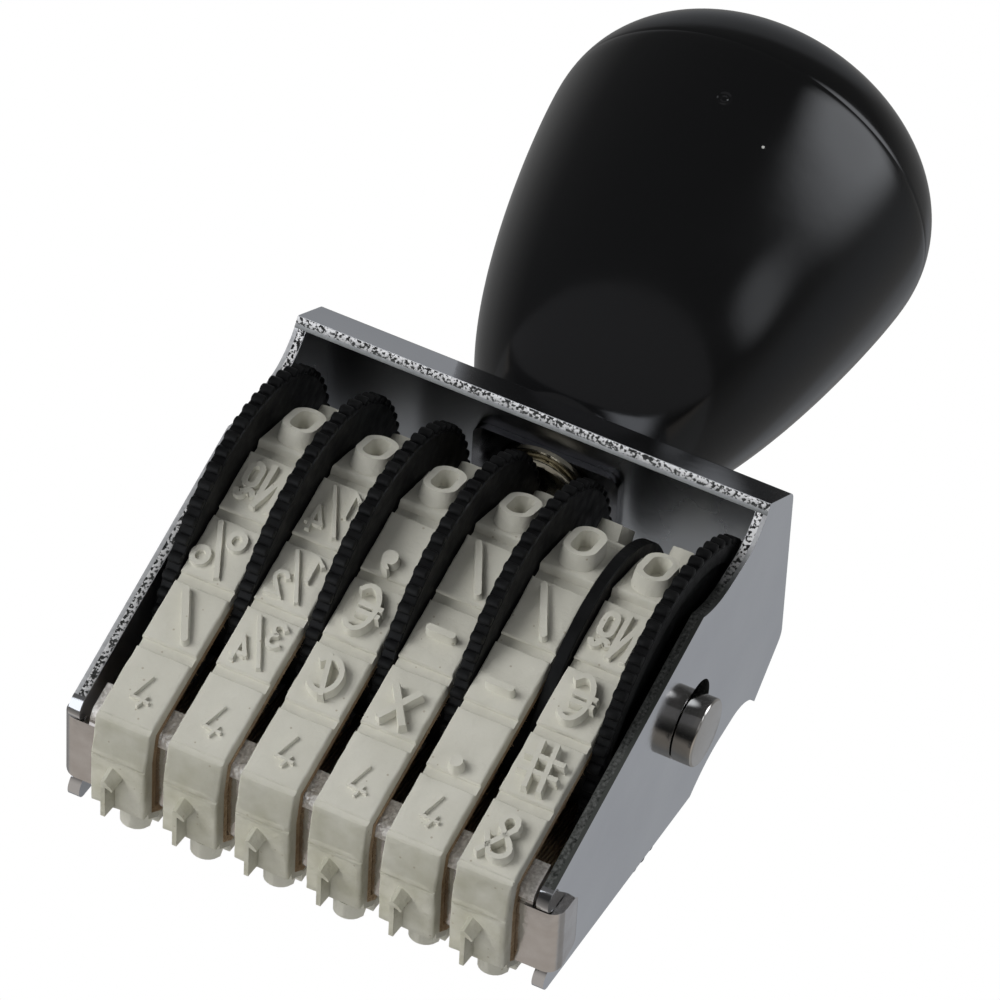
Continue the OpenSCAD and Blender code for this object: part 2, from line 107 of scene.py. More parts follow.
world = bpy.data.worlds.new("white_room")
scene.world = world
world.use_nodes = True
sky = world.node_tree
sky.nodes.clear()
rays = add(sky, "ShaderNodeLightPath").outputs
seen = add(sky, "ShaderNodeMath", rays["Is Camera Ray"], rays["Is Transmission Ray"], setup=LARGER)
heading = add(sky, "ShaderNodeSeparateXYZ", add(sky, "ShaderNodeTexCoord").outputs["Generated"]).outputs["Y"]
mirrored = add(
    sky, "ShaderNodeMapRange", heading, From_Min=-0.1, From_Max=0.4, To_Min=MIRROR_FRONT, To_Max=MIRROR_BACK
)
level = add(sky, "ShaderNodeMapRange", rays["Is Glossy Ray"], To_Min=ROOM_GREY, To_Max=mirrored)
room = add(sky, "ShaderNodeBackground", WHITE, level)
backdrop = add(sky, "ShaderNodeBackground", WHITE)
add(sky, "ShaderNodeOutputWorld", add(sky, "ShaderNodeMixShader", seen, room, backdrop))
print("world nodes:", len(sky.nodes))

# %% Floor
FLOOR_MATT, FLOOR_GLOW = (0.4, 0.4, 0.4, 1), 0.62
FLOOR_SPAN, FLOOR_FRONT = 50, (0.25, 0.25, 0.26, 1)
# Painted reflections: reflections see the floor glow in these strips by depth, dark under the nose and warm
# and light at the back.
FLOOR_STRIPS = (
    (-38, 0.16, 1), (-14, 0.03, 1), (-8, 0.03, 1), (3, 0.4, 0.86), (14, 0.4, 0.86), (50, 0.3, 1.04),
)


def sheet_of(name, wide, deep, place, turn):
    mesh = bpy.data.meshes.new(name)
    w, d = wide / 2, deep / 2
    mesh.from_pydata([(-w, -d, 0), (w, -d, 0), (w, d, 0), (-w, d, 0)], [], [(0, 1, 2, 3)])
    obj = bpy.data.objects.new(name, mesh)
    obj.matrix_world = Matrix.Translation(place) @ turn
    scene.collection.objects.link(obj)
    return obj


def bare_paint(obj, name):
    """The empty node tree of a new material on an object."""
    mat = bpy.data.materials.new(name)
    mat.use_nodes = True
    mat.node_tree.nodes.clear()
    obj.data.materials.append(mat)
    return mat.node_tree


floor = sheet_of("floor", 6, 6, Vector((0, 0, -0.05 * MM)), Matrix.Identity(4))
fl = bare_paint(floor, "pale_floor")
rays = add(fl, "ShaderNodeLightPath").outputs
geo = add(fl, "ShaderNodeNewGeometry").outputs
back = add(fl, "ShaderNodeSeparateXYZ", geo["Position"]).outputs["Y"]
span = add(fl, "ShaderNodeMapRange", back, From_Min=-FLOOR_SPAN * MM, From_Max=FLOOR_SPAN * MM)
strips = add(fl, "ShaderNodeValToRGB", span)
stops = strips.color_ramp.elements
stops.remove(stops[1])
stops[0].color = FLOOR_FRONT
for y, grey, warm in FLOOR_STRIPS:
    stops.new((y / FLOOR_SPAN + 1) / 2).color = (grey, grey * (1 + warm) / 2, grey * warm, 1)
glow = add(fl, "ShaderNodeMath", rays["Is Camera Ray"], FLOOR_GLOW, setup=TIMES)
matt = add(fl, "ShaderNodeBsdfDiffuse", FLOOR_MATT)
pale = add(fl, "ShaderNodeAddShader", matt, add(fl, "ShaderNodeEmission", None, glow))
surface = add(fl, "ShaderNodeMixShader", rays["Is Glossy Ray"], pale, add(fl, "ShaderNodeEmission", strips))
through = add(fl, "ShaderNodeMath", geo["Backfacing"], rays["Is Shadow Ray"], setup=LARGER)
paint = add(fl, "ShaderNodeMixShader", through, surface, add(fl, "ShaderNodeBsdfTransparent"))
add(fl, "ShaderNodeOutputMaterial", paint)
print("floor, m:", floor.dimensions[0])

# %% [markdown]
# Lamps light the stamp, and cards are what its plate and knob mirror. The two are kept apart: lamps don't
# show in reflections and cards give no light, so the shading and the highlights can each be set to match
# the photograph. Two lamps at the front light the type, one small lamp the top, and two stand behind.

# %% Lamps and cards
MIDDLE = Vector((0, 0, 45)) * MM
LAMPS = (
    ("box_right", (0.66, -0.47, 0.59), 0.7, 0.22, 0.45),
    ("key_left", (-0.6, -0.75, -0.3), 0.9, 0.5, 7.0),
    ("fill_low", (-0.1, -0.45, -0.9), 0.9, 0.7, 5.3),
    ("back_left", (-0.45, 0.85, 0.3), 0.9, 0.5, 4.5),
    ("back_right", (0.7, 0.65, 0.3), 0.9, 0.5, 2.5),
)
CARDS = (
    ("grey_card_back", (0.263, 0.764, 0.589), 1.1, 0.62, 0.62, 0.325, 0.4),
    ("grey_card_top", (-0.263, 0.05, 0.95), 1.0, 1.0, 1.2, 0.265, 0.4),
    ("high_card_right", (0.66, -0.42, 0.58), 0.7, 0.95, 0.48, 2.5, 0.6),
    ("low_card_right", (0.88, -0.36, 0.21), 0.8, 0.62, 0.2, 1.0, 0.7),
    ("wide_card_right", (0.82, 0.3, 0.42), 1.2, 1.0, 1.0, 0.26, 0.8),
)
FLOOR_CARDS = (("floor_card_far", -34, 13, 1.3), ("floor_card_near", -15, 19, 1.2))


def towards(direction, distance):
    d = Vector(direction).normalized()
    return MIDDLE + d * distance, d.to_track_quat("Z", "Y").to_matrix().to_4x4()


def hide_from(obj, *kinds):
    for kind in kinds:
        setattr(obj, f"visible_{kind}", False)


def glow_on(obj, grey, soft):
    """Makes a sheet glow in reflections only, fading out towards its rim when it is soft."""
    tree = bare_paint(obj, obj.name)
    half = (obj.dimensions[0] / 2, obj.dimensions[1] / 2, 1)
    spot_at = add(tree, "ShaderNodeTexCoord").outputs["Object"]
    across = add(tree, "ShaderNodeVectorMath", spot_at, half, setup={"operation": "DIVIDE"})
    away = add(tree, "ShaderNodeVectorMath", across, setup={"operation": "LENGTH"}).outputs["Value"]
    rim, full = (1.0, 1.0 - soft) if soft else (9, 8)
    fade = add(tree, "ShaderNodeMapRange", away, From_Min=rim, From_Max=full, setup=SMOOTH)
    light = add(tree, "ShaderNodeEmission", (grey * 0.97, grey, grey * 1.05, 1))
    mix = add(tree, "ShaderNodeMixShader", fade, add(tree, "ShaderNodeBsdfTransparent"), light)
    add(tree, "ShaderNodeOutputMaterial", mix)
    hide_from(obj, "camera", "diffuse", "shadow", "transmission")


for name, direction, distance, size, power in LAMPS:
    lamp = bpy.data.lights.new(name, "AREA")
    lamp.shape = "SQUARE"
    lamp.size = size
    lamp.energy = power
    box = bpy.data.objects.new(name, lamp)
    place, turn = towards(direction, distance)
    box.matrix_world = Matrix.Translation(place) @ turn
    hide_from(box, "glossy", "camera")
    scene.collection.objects.link(box)
for name, direction, distance, wide, deep, grey, soft in CARDS:
    glow_on(sheet_of(name, wide, deep, *towards(direction, distance)), grey, soft)
for name, y, deep, grey in FLOOR_CARDS:
    glow_on(sheet_of(name, 78 * MM, deep * MM, Vector((-26, y, 0.3)) * MM, Matrix.Identity(4)), grey, 0)
print("lamps:", len(bpy.data.lights), "cards:", len(CARDS) + len(FLOOR_CARDS))

# %% [markdown]
# ## Shared surface effects
# Real surfaces are never one even value. Four small node groups are used again and again: a slow mottle
# for stains and smears, a fine grain for bump, scattered specks for dust, and one round spot for a mark at
# a known place. They put out plain values, so every finish keeps its own shader and only asks the group
# how much, here, of something.

# %% Node groups


def new_group(name, **inputs):
    """A shader group with one output: its tree, what comes in, where the result goes, and the place."""
    tree = bpy.data.node_groups.new(name, "ShaderNodeTree")
    for label, value in inputs.items():
        s = tree.interface.new_socket(label, in_out="INPUT", socket_type="NodeSocketFloat")
        s.default_value = value
    tree.interface.new_socket("Value", in_out="OUTPUT", socket_type="NodeSocketFloat")
    ins, out = tree.nodes.new("NodeGroupInput").outputs, tree.nodes.new("NodeGroupOutput").inputs["Value"]
    return tree, ins, out, add(tree, "ShaderNodeTexCoord").outputs["Object"]


def noise_group(name, detail, lo, hi):
    tree, ins, out, at = new_group(name, Scale=200, Low=0, High=1, Stretch=1)
    pull = add(tree, "ShaderNodeCombineXYZ", ins["Stretch"], 1, 1)
    spread = add(tree, "ShaderNodeVectorMath", at, pull, setup=TIMES)
    noise = add(tree, "ShaderNodeTexNoise", spread, Scale=ins["Scale"], Detail=detail)
    ends = {"To_Min": ins["Low"], "To_Max": ins["High"]}
    fit = add(tree, "ShaderNodeMapRange", noise, From_Min=lo, From_Max=hi, **ends)
    tree.links.new(fit.outputs[0], out)
    return tree


def speck_group():
    tree, ins, out, at = new_group("specks", Scale=400, Size=0.1, Share=0.2)
    cells = add(tree, "ShaderNodeTexVoronoi", at, Scale=ins["Scale"]).outputs
    near = add(tree, "ShaderNodeMath", cells["Distance"], ins["Size"], setup=LESS)
    drawn = add(tree, "ShaderNodeSeparateColor", cells["Color"])
    few = add(tree, "ShaderNodeMath", drawn, ins["Share"], setup=LESS)
    tree.links.new(add(tree, "ShaderNodeMath", near, few, setup=TIMES).outputs[0], out)
    return tree


def spot_group():
    """One round mark: 1 within its size of the point X, Y, Z, falling to 0 at twice that."""
    tree, ins, out, at = new_group("spot", X=0, Y=0, Z=0, Size=0.001)
    point = add(tree, "ShaderNodeCombineXYZ", ins["X"], ins["Y"], ins["Z"])
    far = add(tree, "ShaderNodeVectorMath", at, point, setup={"operation": "DISTANCE"}).outputs["Value"]
    sizes = add(tree, "ShaderNodeMath", far, ins["Size"], setup={"operation": "DIVIDE"})
    fade = add(tree, "ShaderNodeMapRange", sizes, From_Min=2, From_Max=1, setup=SMOOTH)
    tree.links.new(fade.outputs[0], out)
    return tree


mottle = noise_group("mottle", 4, 0.3, 0.7)
grain = noise_group("grain", 8, 0.2, 0.8)
specks = speck_group()
spot = spot_group()
print("shared groups:", [g.name for g in bpy.data.node_groups])

# %% [markdown]
# ## Finishes
# Each finish is one Principled shader. A helper starts it, and further helpers hang a mottled colour, a
# mottled roughness or a bump on it, so that a finish reads as a short list of what the surface has.

# %% Finish helpers


class Finish:
    def __init__(self, name, metallic, roughness):
        self.mat = bpy.data.materials.new(name)
        self.mat.use_nodes = True
        self.tree = self.mat.node_tree
        self.inputs = self.tree.nodes["Principled BSDF"].inputs
        self.inputs["Metallic"].default_value = metallic
        self.inputs["Roughness"].default_value = roughness
        self.normal = None

    def node(self, kind, *values, **named):
        return add(self.tree, kind, *values, **named)

    def group(self, tree, **named):
        return self.node("ShaderNodeGroup", setup={"node_tree": tree}, **named).outputs[0]

    def attribute(self, name):
        return self.node("ShaderNodeAttribute", setup={"attribute_name": name}).outputs["Fac"]

    def math(self, operation, a, b):
        return self.node("ShaderNodeMath", a, b, setup={"operation": operation}).outputs[0]

    def ramp(self, value, start, stop):
        return self.node("ShaderNodeMapRange", value, From_Min=start, From_Max=stop).outputs[0]

    def blend(self, amount, a, b):
        """From colour a to colour b. The colour inputs of a Mix node are its seventh and eighth."""
        a, b = ((*c, 1) if isinstance(c, tuple) else c for c in (a, b))
        return self.node("ShaderNodeMix", amount, *[None] * 5, a, b, setup={"data_type": "RGBA"}).outputs[2]

    def colour(self, socket):
        self.tree.links.new(socket, self.inputs["Base Color"])

    def tones(self, scale, dark, light):
        self.colour(self.blend(self.group(mottle, Scale=scale), dark, light))

    def rough(self, scale, low, high, stretch=1):
        smears = self.group(mottle, Scale=scale, Low=low, High=high, Stretch=stretch)
        self.tree.links.new(smears, self.inputs["Roughness"])

    def bump(self, socket, height_mm):
        n = self.node("ShaderNodeBump", Strength=1, Distance=height_mm * MM, Height=socket, Normal=self.normal)
        self.normal = n.outputs[0]
        self.tree.links.new(self.normal, self.inputs["Normal"])

    def grit(self, scale, height_mm, stretch=1):
        self.bump(self.group(grain, Scale=scale, Stretch=stretch), height_mm)


# %% [markdown]
# The frame is bright plated sheet. Plate is a mirror with a faint orange peel and hair-fine rubbing
# marks, so its roughness moves a little; inside it was never polished. The sheared edges are another
# finish: a shear leaves a smooth strip and, past it, a torn strip of dark and bright grains, the bright
# ones in part painted glints. Two attributes on the mesh say how deep in the cut a point lies and how
# light it is painted: painted shade darkens the cheeks' edges lower down, the right cheek's most, where
# the wheels shade them, and the web's edge is painted lighter across the sheet. The axle has bright ends
# and sides in painted shade, a darker copy of the same nickel, and the plate under the web is dim.

# %% Metal finishes
METALS = {
    "bright_plate": ((90, (0.74, 0.75, 0.78), (0.82, 0.83, 0.85)), (260, 0.05, 0.13, 0.15), (700, 0.004)),
    "plate_inside": ((60, (0.46, 0.47, 0.49), (0.58, 0.59, 0.61)), (90, 0.24, 0.34), (2400, 0.004)),
    "nose_nickel": ((500, (0.68, 0.65, 0.63), (0.78, 0.76, 0.75)), (900, 0.1, 0.24), (2600, 0.012)),
    "turned_nickel": ((400, (0.66, 0.63, 0.58), (0.74, 0.71, 0.67)), (1500, 0.08, 0.17, 6), (1800, 0.0015, 5)),
    # Painted shade: a darker copy of the turned nickel, for the sides of the axle.
    "oiled_nickel": ((400, (0.25, 0.245, 0.23), (0.32, 0.31, 0.295)), (1500, 0.08, 0.17, 6), None),
    "dim_plate": ((300, (0.12, 0.12, 0.13), (0.22, 0.22, 0.23)), (700, 0.12, 0.24), None),
    "zinc_steel": ((700, (0.55, 0.5, 0.38), (0.75, 0.7, 0.55)), (1100, 0.14, 0.26), (3000, 0.01)),
    "insert_brass": ((600, (0.55, 0.38, 0.14), (0.78, 0.58, 0.26)), (900, 0.22, 0.42), None),
}


def metal(name):
    tones, rough, grit = METALS[name]
    finish = Finish(name, 1.0, rough[1])
    finish.tones(*tones)
    finish.rough(*rough)
    if grit:
        finish.grit(*grit)
    return finish


plate, inside, nose_plate, turned, axle_sides_shaded, dim, zinc, brass = (metal(name) for name in METALS)

TORN_FROM, TORN_TO = 0.34, 0.95
sheared = Finish("sheared_edge", 0.5, 0.3)
# The second attribute holds painted light and shade: where it is low the edge takes the dark, shaded tones,
# where high the bright, lit ones.
depth, sheen_and_shade = sheared.attribute("edge_depth"), sheared.attribute("edge_gleam")
past_smooth = sheared.math("GREATER_THAN", depth, TORN_FROM)
torn = sheared.math("MULTIPLY", past_smooth, sheared.math("LESS_THAN", depth, TORN_TO))
tear = sheared.group(grain, Scale=3400)
grains_and_glints = sheared.blend(sheared.ramp(tear, 0.44, 0.54), (0.015, 0.015, 0.015), (0.95, 0.95, 0.96))
torn_strip_shaded = sheared.blend(sheared.group(mottle, Scale=3600), (0.02, 0.022, 0.02), (0.15, 0.155, 0.15))
smooth_strip_lit = sheared.blend(sheared.group(mottle, Scale=2600), (0.5, 0.51, 0.53), (0.66, 0.67, 0.69))
smooth_strip_shaded = sheared.blend(sheen_and_shade, (0.07, 0.075, 0.07), smooth_strip_lit)
sheared.colour(sheared.blend(torn, smooth_strip_shaded, sheared.blend(sheen_and_shade, torn_strip_shaded, grains_and_glints)))
sheared.bump(sheared.math("MULTIPLY", tear, torn), 0.06)

# Painted highlight: bright grains along the nose bar's front bend stand in for the sparkle of light on the
# bend.
nose_bend = Finish("nose_bend", 0.5, 0.3)
sparkle_grains = nose_bend.group(grain, Scale=3200)
nose_bend.colour(nose_bend.blend(sparkle_grains, (0.4, 0.37, 0.34), (1, 0.98, 0.94)))
nose_bend.bump(sparkle_grains, 0.08)
print("metals:", len(bpy.data.materials))

# %% [markdown]
# The knob is polished black plastic: nearly no colour of its own, all gloss, with faint handling smears
# in the roughness, a few specks of dust, one pale fleck and one shallow pit. The wheels are black too, but
# left dull from the mould. The rubber is a warm grey with soft stains and a matt skin, and is darker near
# the nose, where it meets the ink. The tape behind it is a brown weave.

# %% Plastic, rubber and cloth finishes
knob_black = Finish("knob_black", 0.0, 0.12)
dust = knob_black.group(specks, Scale=260, Size=0.035, Share=0.12)
fleck = knob_black.group(spot, X=5.49 * MM, Y=-16.41 * MM, Z=79.14 * MM, Size=0.09 * MM)
dusty = knob_black.blend(dust, (0.002, 0.0021, 0.0024), (0.16, 0.16, 0.15))
knob_black.colour(knob_black.blend(fleck, dusty, (0.6, 0.6, 0.58)))
knob_black.rough(70, 0.08, 0.2)
knob_black.grit(160, 0.01)
pit = knob_black.group(spot, X=0.46 * MM, Y=-17.66 * MM, Z=81.65 * MM, Size=0.4 * MM)
pit_floor = knob_black.group(spot, X=0.5 * MM, Y=-17.66 * MM, Z=81.6 * MM, Size=0.2 * MM)
knob_black.bump(knob_black.math("SUBTRACT", pit_floor, pit), 0.12)

wheel_black = Finish("wheel_black", 0.0, 0.5)
wheel_black.inputs["Specular IOR Level"].default_value = 0.17
wheel_black.tones(420, (0.0025, 0.0026, 0.0028), (0.006, 0.0062, 0.0064))
wheel_black.rough(800, 0.4, 0.62)
wheel_black.grit(2400, 0.02)

INK_TOP, INK_FULL = 2.75, 2.3
rubber = Finish("type_rubber", 0.0, 0.7)
stain = rubber.blend(rubber.group(mottle, Scale=160), (0.52, 0.51, 0.445), (0.6, 0.59, 0.525))
height = rubber.node("ShaderNodeSeparateXYZ", rubber.node("ShaderNodeTexCoord").outputs["Object"]).outputs["Z"]
by_nose = rubber.ramp(height, INK_TOP * MM, INK_FULL * MM)
inky = rubber.math("MULTIPLY", by_nose, rubber.group(mottle, Scale=420))
stain = rubber.blend(inky, stain, (0.45, 0.44, 0.36))
rubber.colour(rubber.blend(rubber.group(specks, Scale=1500, Size=0.16, Share=0.12), stain, (0.40, 0.37, 0.3)))
rubber.rough(600, 0.55, 0.8)
rubber.bump(rubber.group(mottle, Scale=480), 0.09)
rubber.grit(2600, 0.03)

tape = Finish("woven_tape", 0.0, 0.9)
tape_at = tape.node("ShaderNodeTexCoord").outputs["Object"]
threads = tape.node("ShaderNodeTexWave", tape_at, Scale=900, Distortion=1.5, Detail=2)
warp = tape.math("MULTIPLY", threads.outputs["Fac"], tape.group(grain, Scale=3000))
tape.colour(tape.blend(warp, (0.28, 0.19, 0.11), (0.7, 0.54, 0.36)))
tape.bump(warp, 0.12)
print("finishes:", len(bpy.data.materials))

# %% [markdown]
# ## Making meshes
# Three ways cover nearly every piece: turning a profile round an axis, pushing an outline along the axle,
# and softening sharp corners. Sizes are in millimetres, as on a drawing, and turn into metres at the end.
# Heights are measured from the axle, because the wheels, the bands and the cheeks all share it.

# %% Mesh helpers
AXLE_Z = 30.2


def make_piece(name, verts, faces, finish, sharp=35):
    mesh = bpy.data.meshes.new(name)
    mesh.from_pydata([Vector(v) * MM for v in verts], [], faces)
    bm = bmesh.new()
    bm.from_mesh(mesh)
    bmesh.ops.remove_doubles(bm, verts=bm.verts, dist=1e-7)
    bmesh.ops.recalc_face_normals(bm, faces=bm.faces)
    bm.to_mesh(mesh)
    bm.free()
    obj = bpy.data.objects.new(name, mesh)
    scene.collection.objects.link(obj)
    mesh.materials.append(finish.mat)
    soft_shade(mesh, sharp)
    return obj


def soft_shade(mesh, sharp):
    mesh.polygons.foreach_set("use_smooth", [True] * len(mesh.polygons))
    mesh.set_sharp_from_angle(angle=math.radians(sharp))


def lathe(profile, steps, along="Z", closed=False, base=0.0):
    """Turns a profile of (radius, height) round Z, or round the axle."""
    verts, rings, faces = [], [], []
    for r, h in profile:
        count = 1 if r < 1e-6 else steps
        rings.append((len(verts), count))
        for i in range(count):
            a = 2 * math.pi * i / steps
            c, s = r * math.cos(a), r * math.sin(a)
            verts.append((c, s, base + h) if along == "Z" else (base + h, c, AXLE_Z + s))
    pairs = list(zip(rings, rings[1:]))
    if closed:
        pairs.append((rings[-1], rings[0]))
    for (a, na), (b, nb) in pairs:
        for i in range(steps):
            j = (i + 1) % steps
            if na > 1 and nb > 1:
                faces.append((a + i, a + j, b + j, b + i))
            elif na > 1:
                faces.append((a + i, a + j, b))
            elif nb > 1:
                faces.append((a, b + j, b + i))
    return verts, faces


def soften(outline, cut):
    """Replaces each corner of a closed outline by a short chamfer."""
    out = []
    for i, p in enumerate(outline):
        p, a, b = Vector(p), Vector(outline[i - 1]), Vector(outline[(i + 1) % len(outline)])
        for q in (a, b):
            step = q - p
            out.append(tuple(p + step.normalized() * min(cut, step.length * 0.45)))
    return out


def push(outline, x0, x1, holes=()):
    """Pushes a (y, z) outline, measured from the axle, along X. Holes go right through."""
    bm = bmesh.new()
    edges = []
    for loop in (outline, *holes):
        vs = [bm.verts.new((x0, y, AXLE_Z + z)) for y, z in loop]
        edges += [bm.edges.new((vs[i - 1], vs[i])) for i in range(len(vs))]
    bmesh.ops.triangle_fill(bm, edges=edges, use_beauty=True)
    bmesh.ops.dissolve_limit(bm, angle_limit=0.01, verts=bm.verts, edges=bm.edges)
    top = bmesh.ops.extrude_face_region(bm, geom=bm.faces[:])
    moved = [g for g in top["geom"] if isinstance(g, bmesh.types.BMVert)]
    bmesh.ops.translate(bm, verts=moved, vec=(x1 - x0, 0, 0))
    bm.verts.index_update()
    verts = [v.co.copy() for v in bm.verts]
    faces = [[v.index for v in f.verts] for f in bm.faces]
    bm.free()
    return verts, faces


def joined(*parts):
    verts, faces = [], []
    for vs, fs in parts:
        n = len(verts)
        verts += list(vs)
        faces += [[n + i for i in f] for f in fs]
    return verts, faces


def settle(obj, body, slot, *nodes):
    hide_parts(*nodes)
    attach(obj, body)
    print(obj.name, "triangles:", sum(len(p.vertices) - 2 for p in obj.data.polygons))


def ray(degrees):
    a = math.radians(degrees)
    return Vector((math.cos(a), math.sin(a)))


# %% [markdown]
# ## The knob
# The knob is turned or moulded, so its whole shape is one profile: a short foot, a neck that swells along
# a smooth curve, and a crown that is a little squarer than an ellipse. Turning the profile round gives it.
# The mould parts just above the widest ring, which leaves a hair line there, and a pocket takes the insert.

# %% Knob
WEB_TOP = AXLE_Z + 20.15
FOOT_R, FOOT_H = 7.2, 1.6
WIDE_R, WIDE_H, KNOB_H = 18.15, 36.5, 48.8
CROWN_POWER = 2.16
SWELL_OUT, SWELL_UP, SWELL_END = 7.8, 6.6, 3.8
POCKET_R, POCKET_H, FOOT_ROUND = 3.03, 10.05, 0.35
PARTING_H, PARTING_CUT = 37.6, 0.012
CURVE_STEPS, CROWN_STEPS = 48, 60


def knob_profile():
    pulls = (FOOT_R + SWELL_OUT, FOOT_H + SWELL_UP), (WIDE_R, WIDE_H - SWELL_END)
    curve = [Vector(p) for p in ((FOOT_R, FOOT_H), *pulls, (WIDE_R, WIDE_H))]
    pts = [(0, POCKET_H), (POCKET_R, POCKET_H), (POCKET_R, 0), (FOOT_R - FOOT_ROUND, 0), (FOOT_R, FOOT_ROUND)]
    for i in range(CURVE_STEPS + 1):
        t = i / CURVE_STEPS
        w = ((1 - t) ** 3, 3 * (1 - t) ** 2 * t, 3 * (1 - t) * t * t, t**3)
        pts.append(tuple(sum((c * k for c, k in zip(curve, w)), Vector((0, 0)))))
    for i in range(1, CROWN_STEPS + 1):
        a = math.radians(90 * i / CROWN_STEPS)
        r = WIDE_R * math.cos(a) ** (2 / CROWN_POWER)
        h = WIDE_H + (KNOB_H - WIDE_H) * math.sin(a) ** (2 / CROWN_POWER)
        pts.append((max(r, 0) if i < CROWN_STEPS else 0, h))
    line = [i for i, p in enumerate(pts) if p[1] > PARTING_H and p[0] > 15][0]
    r, h = pts[line]
    pts[line:line] = [(r, h - 0.24), (r - PARTING_CUT, h - 0.16), (r - PARTING_CUT, h - 0.1)]
    return pts


verts, faces = lathe(knob_profile(), 192, base=WEB_TOP)
knob = make_piece("knob", verts, faces, knob_black, 50)
settle(knob, "stamp", "handle_black", "handle")

# %% [markdown]
# ## The sheet frame
# The real frame is blanked from sheet and bent. Two cheeks are pushed outlines with a keyhole, the web is
# a bent strip with a sloping flange at the front and the back, and a Boolean union makes one sheet of them.
# A small bevel then catches the light along every edge, as a rolled-over sheared edge does.

# %% Frame outlines
SHEET, FRAME_HALF, WEB_RISE = 1.1, 22.5, 20.15
WEB_HALF, SHOULDER_HALF, SLOPE_H = 9.5, 13.3, 5.05
WAIST_HALF, WAIST_HI, WAIST_LO = 10.4, 10.3, 7.7
WAIST_PULL_HI, WAIST_PULL_LO = 12.7, 4.9
BELLY_HALF, BELLY_RISE = 12.1, 2.1
PRONG_HALF, PRONG_DROP = 6.45, 27.0
NOTCH_HALF, NOTCH_DROP, NOTCH_R = 4.05, 25.6, 0.6
KEY_SEAT_R, KEY_R, KEY_RISE = 2.62, 3.35, 1.2
WEB_BEND, FOLD, EDGE = 1.6, 0.9, 0.22


def quad_curve(a, b, c, n):
    """A curve from a to c that is pulled towards b."""
    a, b, c = Vector(a), Vector(b), Vector(c)
    return [tuple((1 - t) ** 2 * a + 2 * t * (1 - t) * b + t * t * c) for t in (i / n for i in range(n + 1))]


def flipped(pts):
    return [(-y, z) for y, z in reversed(pts)]


def cheek_outline():
    shoulder = WEB_RISE - SLOPE_H
    prong_r = (PRONG_HALF - NOTCH_HALF) / 2
    half = [(WEB_HALF - 0.4, WEB_RISE - 0.5), (SHOULDER_HALF - 0.5, shoulder - 0.1)]
    start = (SHOULDER_HALF - 0.8, shoulder - 0.5)
    half += quad_curve(start, (WAIST_HALF, WAIST_PULL_HI), (WAIST_HALF, WAIST_HI), 14)
    half += quad_curve((WAIST_HALF, WAIST_LO), (WAIST_HALF, WAIST_PULL_LO), (BELLY_HALF, BELLY_RISE), 14)
    for i in range(13):
        half.append(tuple(Vector((PRONG_HALF - prong_r, prong_r - PRONG_DROP)) + prong_r * ray(-15 * i)))
    corner = (NOTCH_HALF, -NOTCH_DROP)
    half += quad_curve((NOTCH_HALF, -NOTCH_DROP - NOTCH_R), corner, (NOTCH_HALF - NOTCH_R, -NOTCH_DROP), 5)
    return half + flipped(half)


def keyhole():
    """The outline of two round holes that overlap: a seat for the neck and a hole to pass the axle."""
    middle, pts = Vector((0, KEY_RISE / 2)), []
    for i in range(96):
        d = ray(3.75 * i)
        reach = []
        for centre, r in ((Vector((0, 0)), KEY_SEAT_R), (Vector((0, KEY_RISE)), KEY_R)):
            along = (centre - middle).dot(d)
            reach.append(along + math.sqrt(r * r - (centre - middle).length_squared + along * along))
        pts.append(tuple(middle + d * max(reach)))
    return pts


def bent_strip(corners, thick, radius, steps):
    """A strip of sheet along the corners, with round bends. It lies to the right of the path."""
    outer, inner = [], []
    for i, p in enumerate(corners):
        p = Vector(p)
        before = (p - Vector(corners[i - 1])).normalized() if i else None
        after = (Vector(corners[i + 1]) - p).normalized() if i + 1 < len(corners) else None
        if before is None or after is None:
            d = before or after
            n = Vector((d[1], -d[0]))
            outer.append(p)
            inner.append(p + n * thick)
            continue
        turn = math.atan2(before[0] * after[1] - before[1] * after[0], before.dot(after))
        if abs(turn) < 1e-4:
            outer.append(p)
            inner.append(p + Vector((after[1], -after[0])) * thick)
            continue
        side = 1 if turn < 0 else -1
        n0 = Vector((before[1], -before[0])) * side
        centre = p + (n0 + Vector((after[1], -after[0])) * side) * radius / (1 + before.dot(after))
        for k in range(steps + 1):
            a = math.atan2(-n0[1], -n0[0]) + turn * k / steps
            v = Vector((math.cos(a), math.sin(a)))
            outer.append(centre + v * radius)
            inner.append(centre + v * (radius - side * thick))
    return [tuple(p) for p in outer + inner[::-1]]


print("cheek outline points:", len(cheek_outline()))

# %% Frame solid


def union_of(name, parts, finish):
    objs = [make_piece(f"{name}_{i}", v, f, finish) for i, (v, f) in enumerate(parts)]
    for other in objs[1:]:
        mod = objs[0].modifiers.new("join", "BOOLEAN")
        mod.operation = "UNION"
        mod.solver = "EXACT"
        mod.object = other
    obj = baked(objs[0], name)
    for o in objs:
        bpy.data.objects.remove(o)
    return obj


def baked(obj, name):
    """A plain mesh of what the modifiers make, in a new object."""
    bpy.context.view_layer.update()
    seen = obj.evaluated_get(bpy.context.evaluated_depsgraph_get())
    mesh = bpy.data.meshes.new_from_object(seen)
    mesh.name = name
    out = bpy.data.objects.new(name, mesh)
    scene.collection.objects.link(out)
    return out


def bevelled(obj, width, segments=2, angle=30):
    mod = obj.modifiers.new("bevel", "BEVEL")
    mod.width = width * MM
    mod.segments = segments
    mod.limit_method = "ANGLE"
    mod.angle_limit = math.radians(angle)
    even = obj.modifiers.new("flat_faces_stay_flat", "WEIGHTED_NORMAL")
    even.keep_sharp = True
    soft_shade(obj.data, 180)
    name = obj.name
    obj.name = name + "_plain"
    out = baked(obj, name)
    bpy.data.objects.remove(obj)
    return out


def round_hole(r, steps=48):
    return [tuple(r * ray(360 * i / steps)) for i in range(steps)]


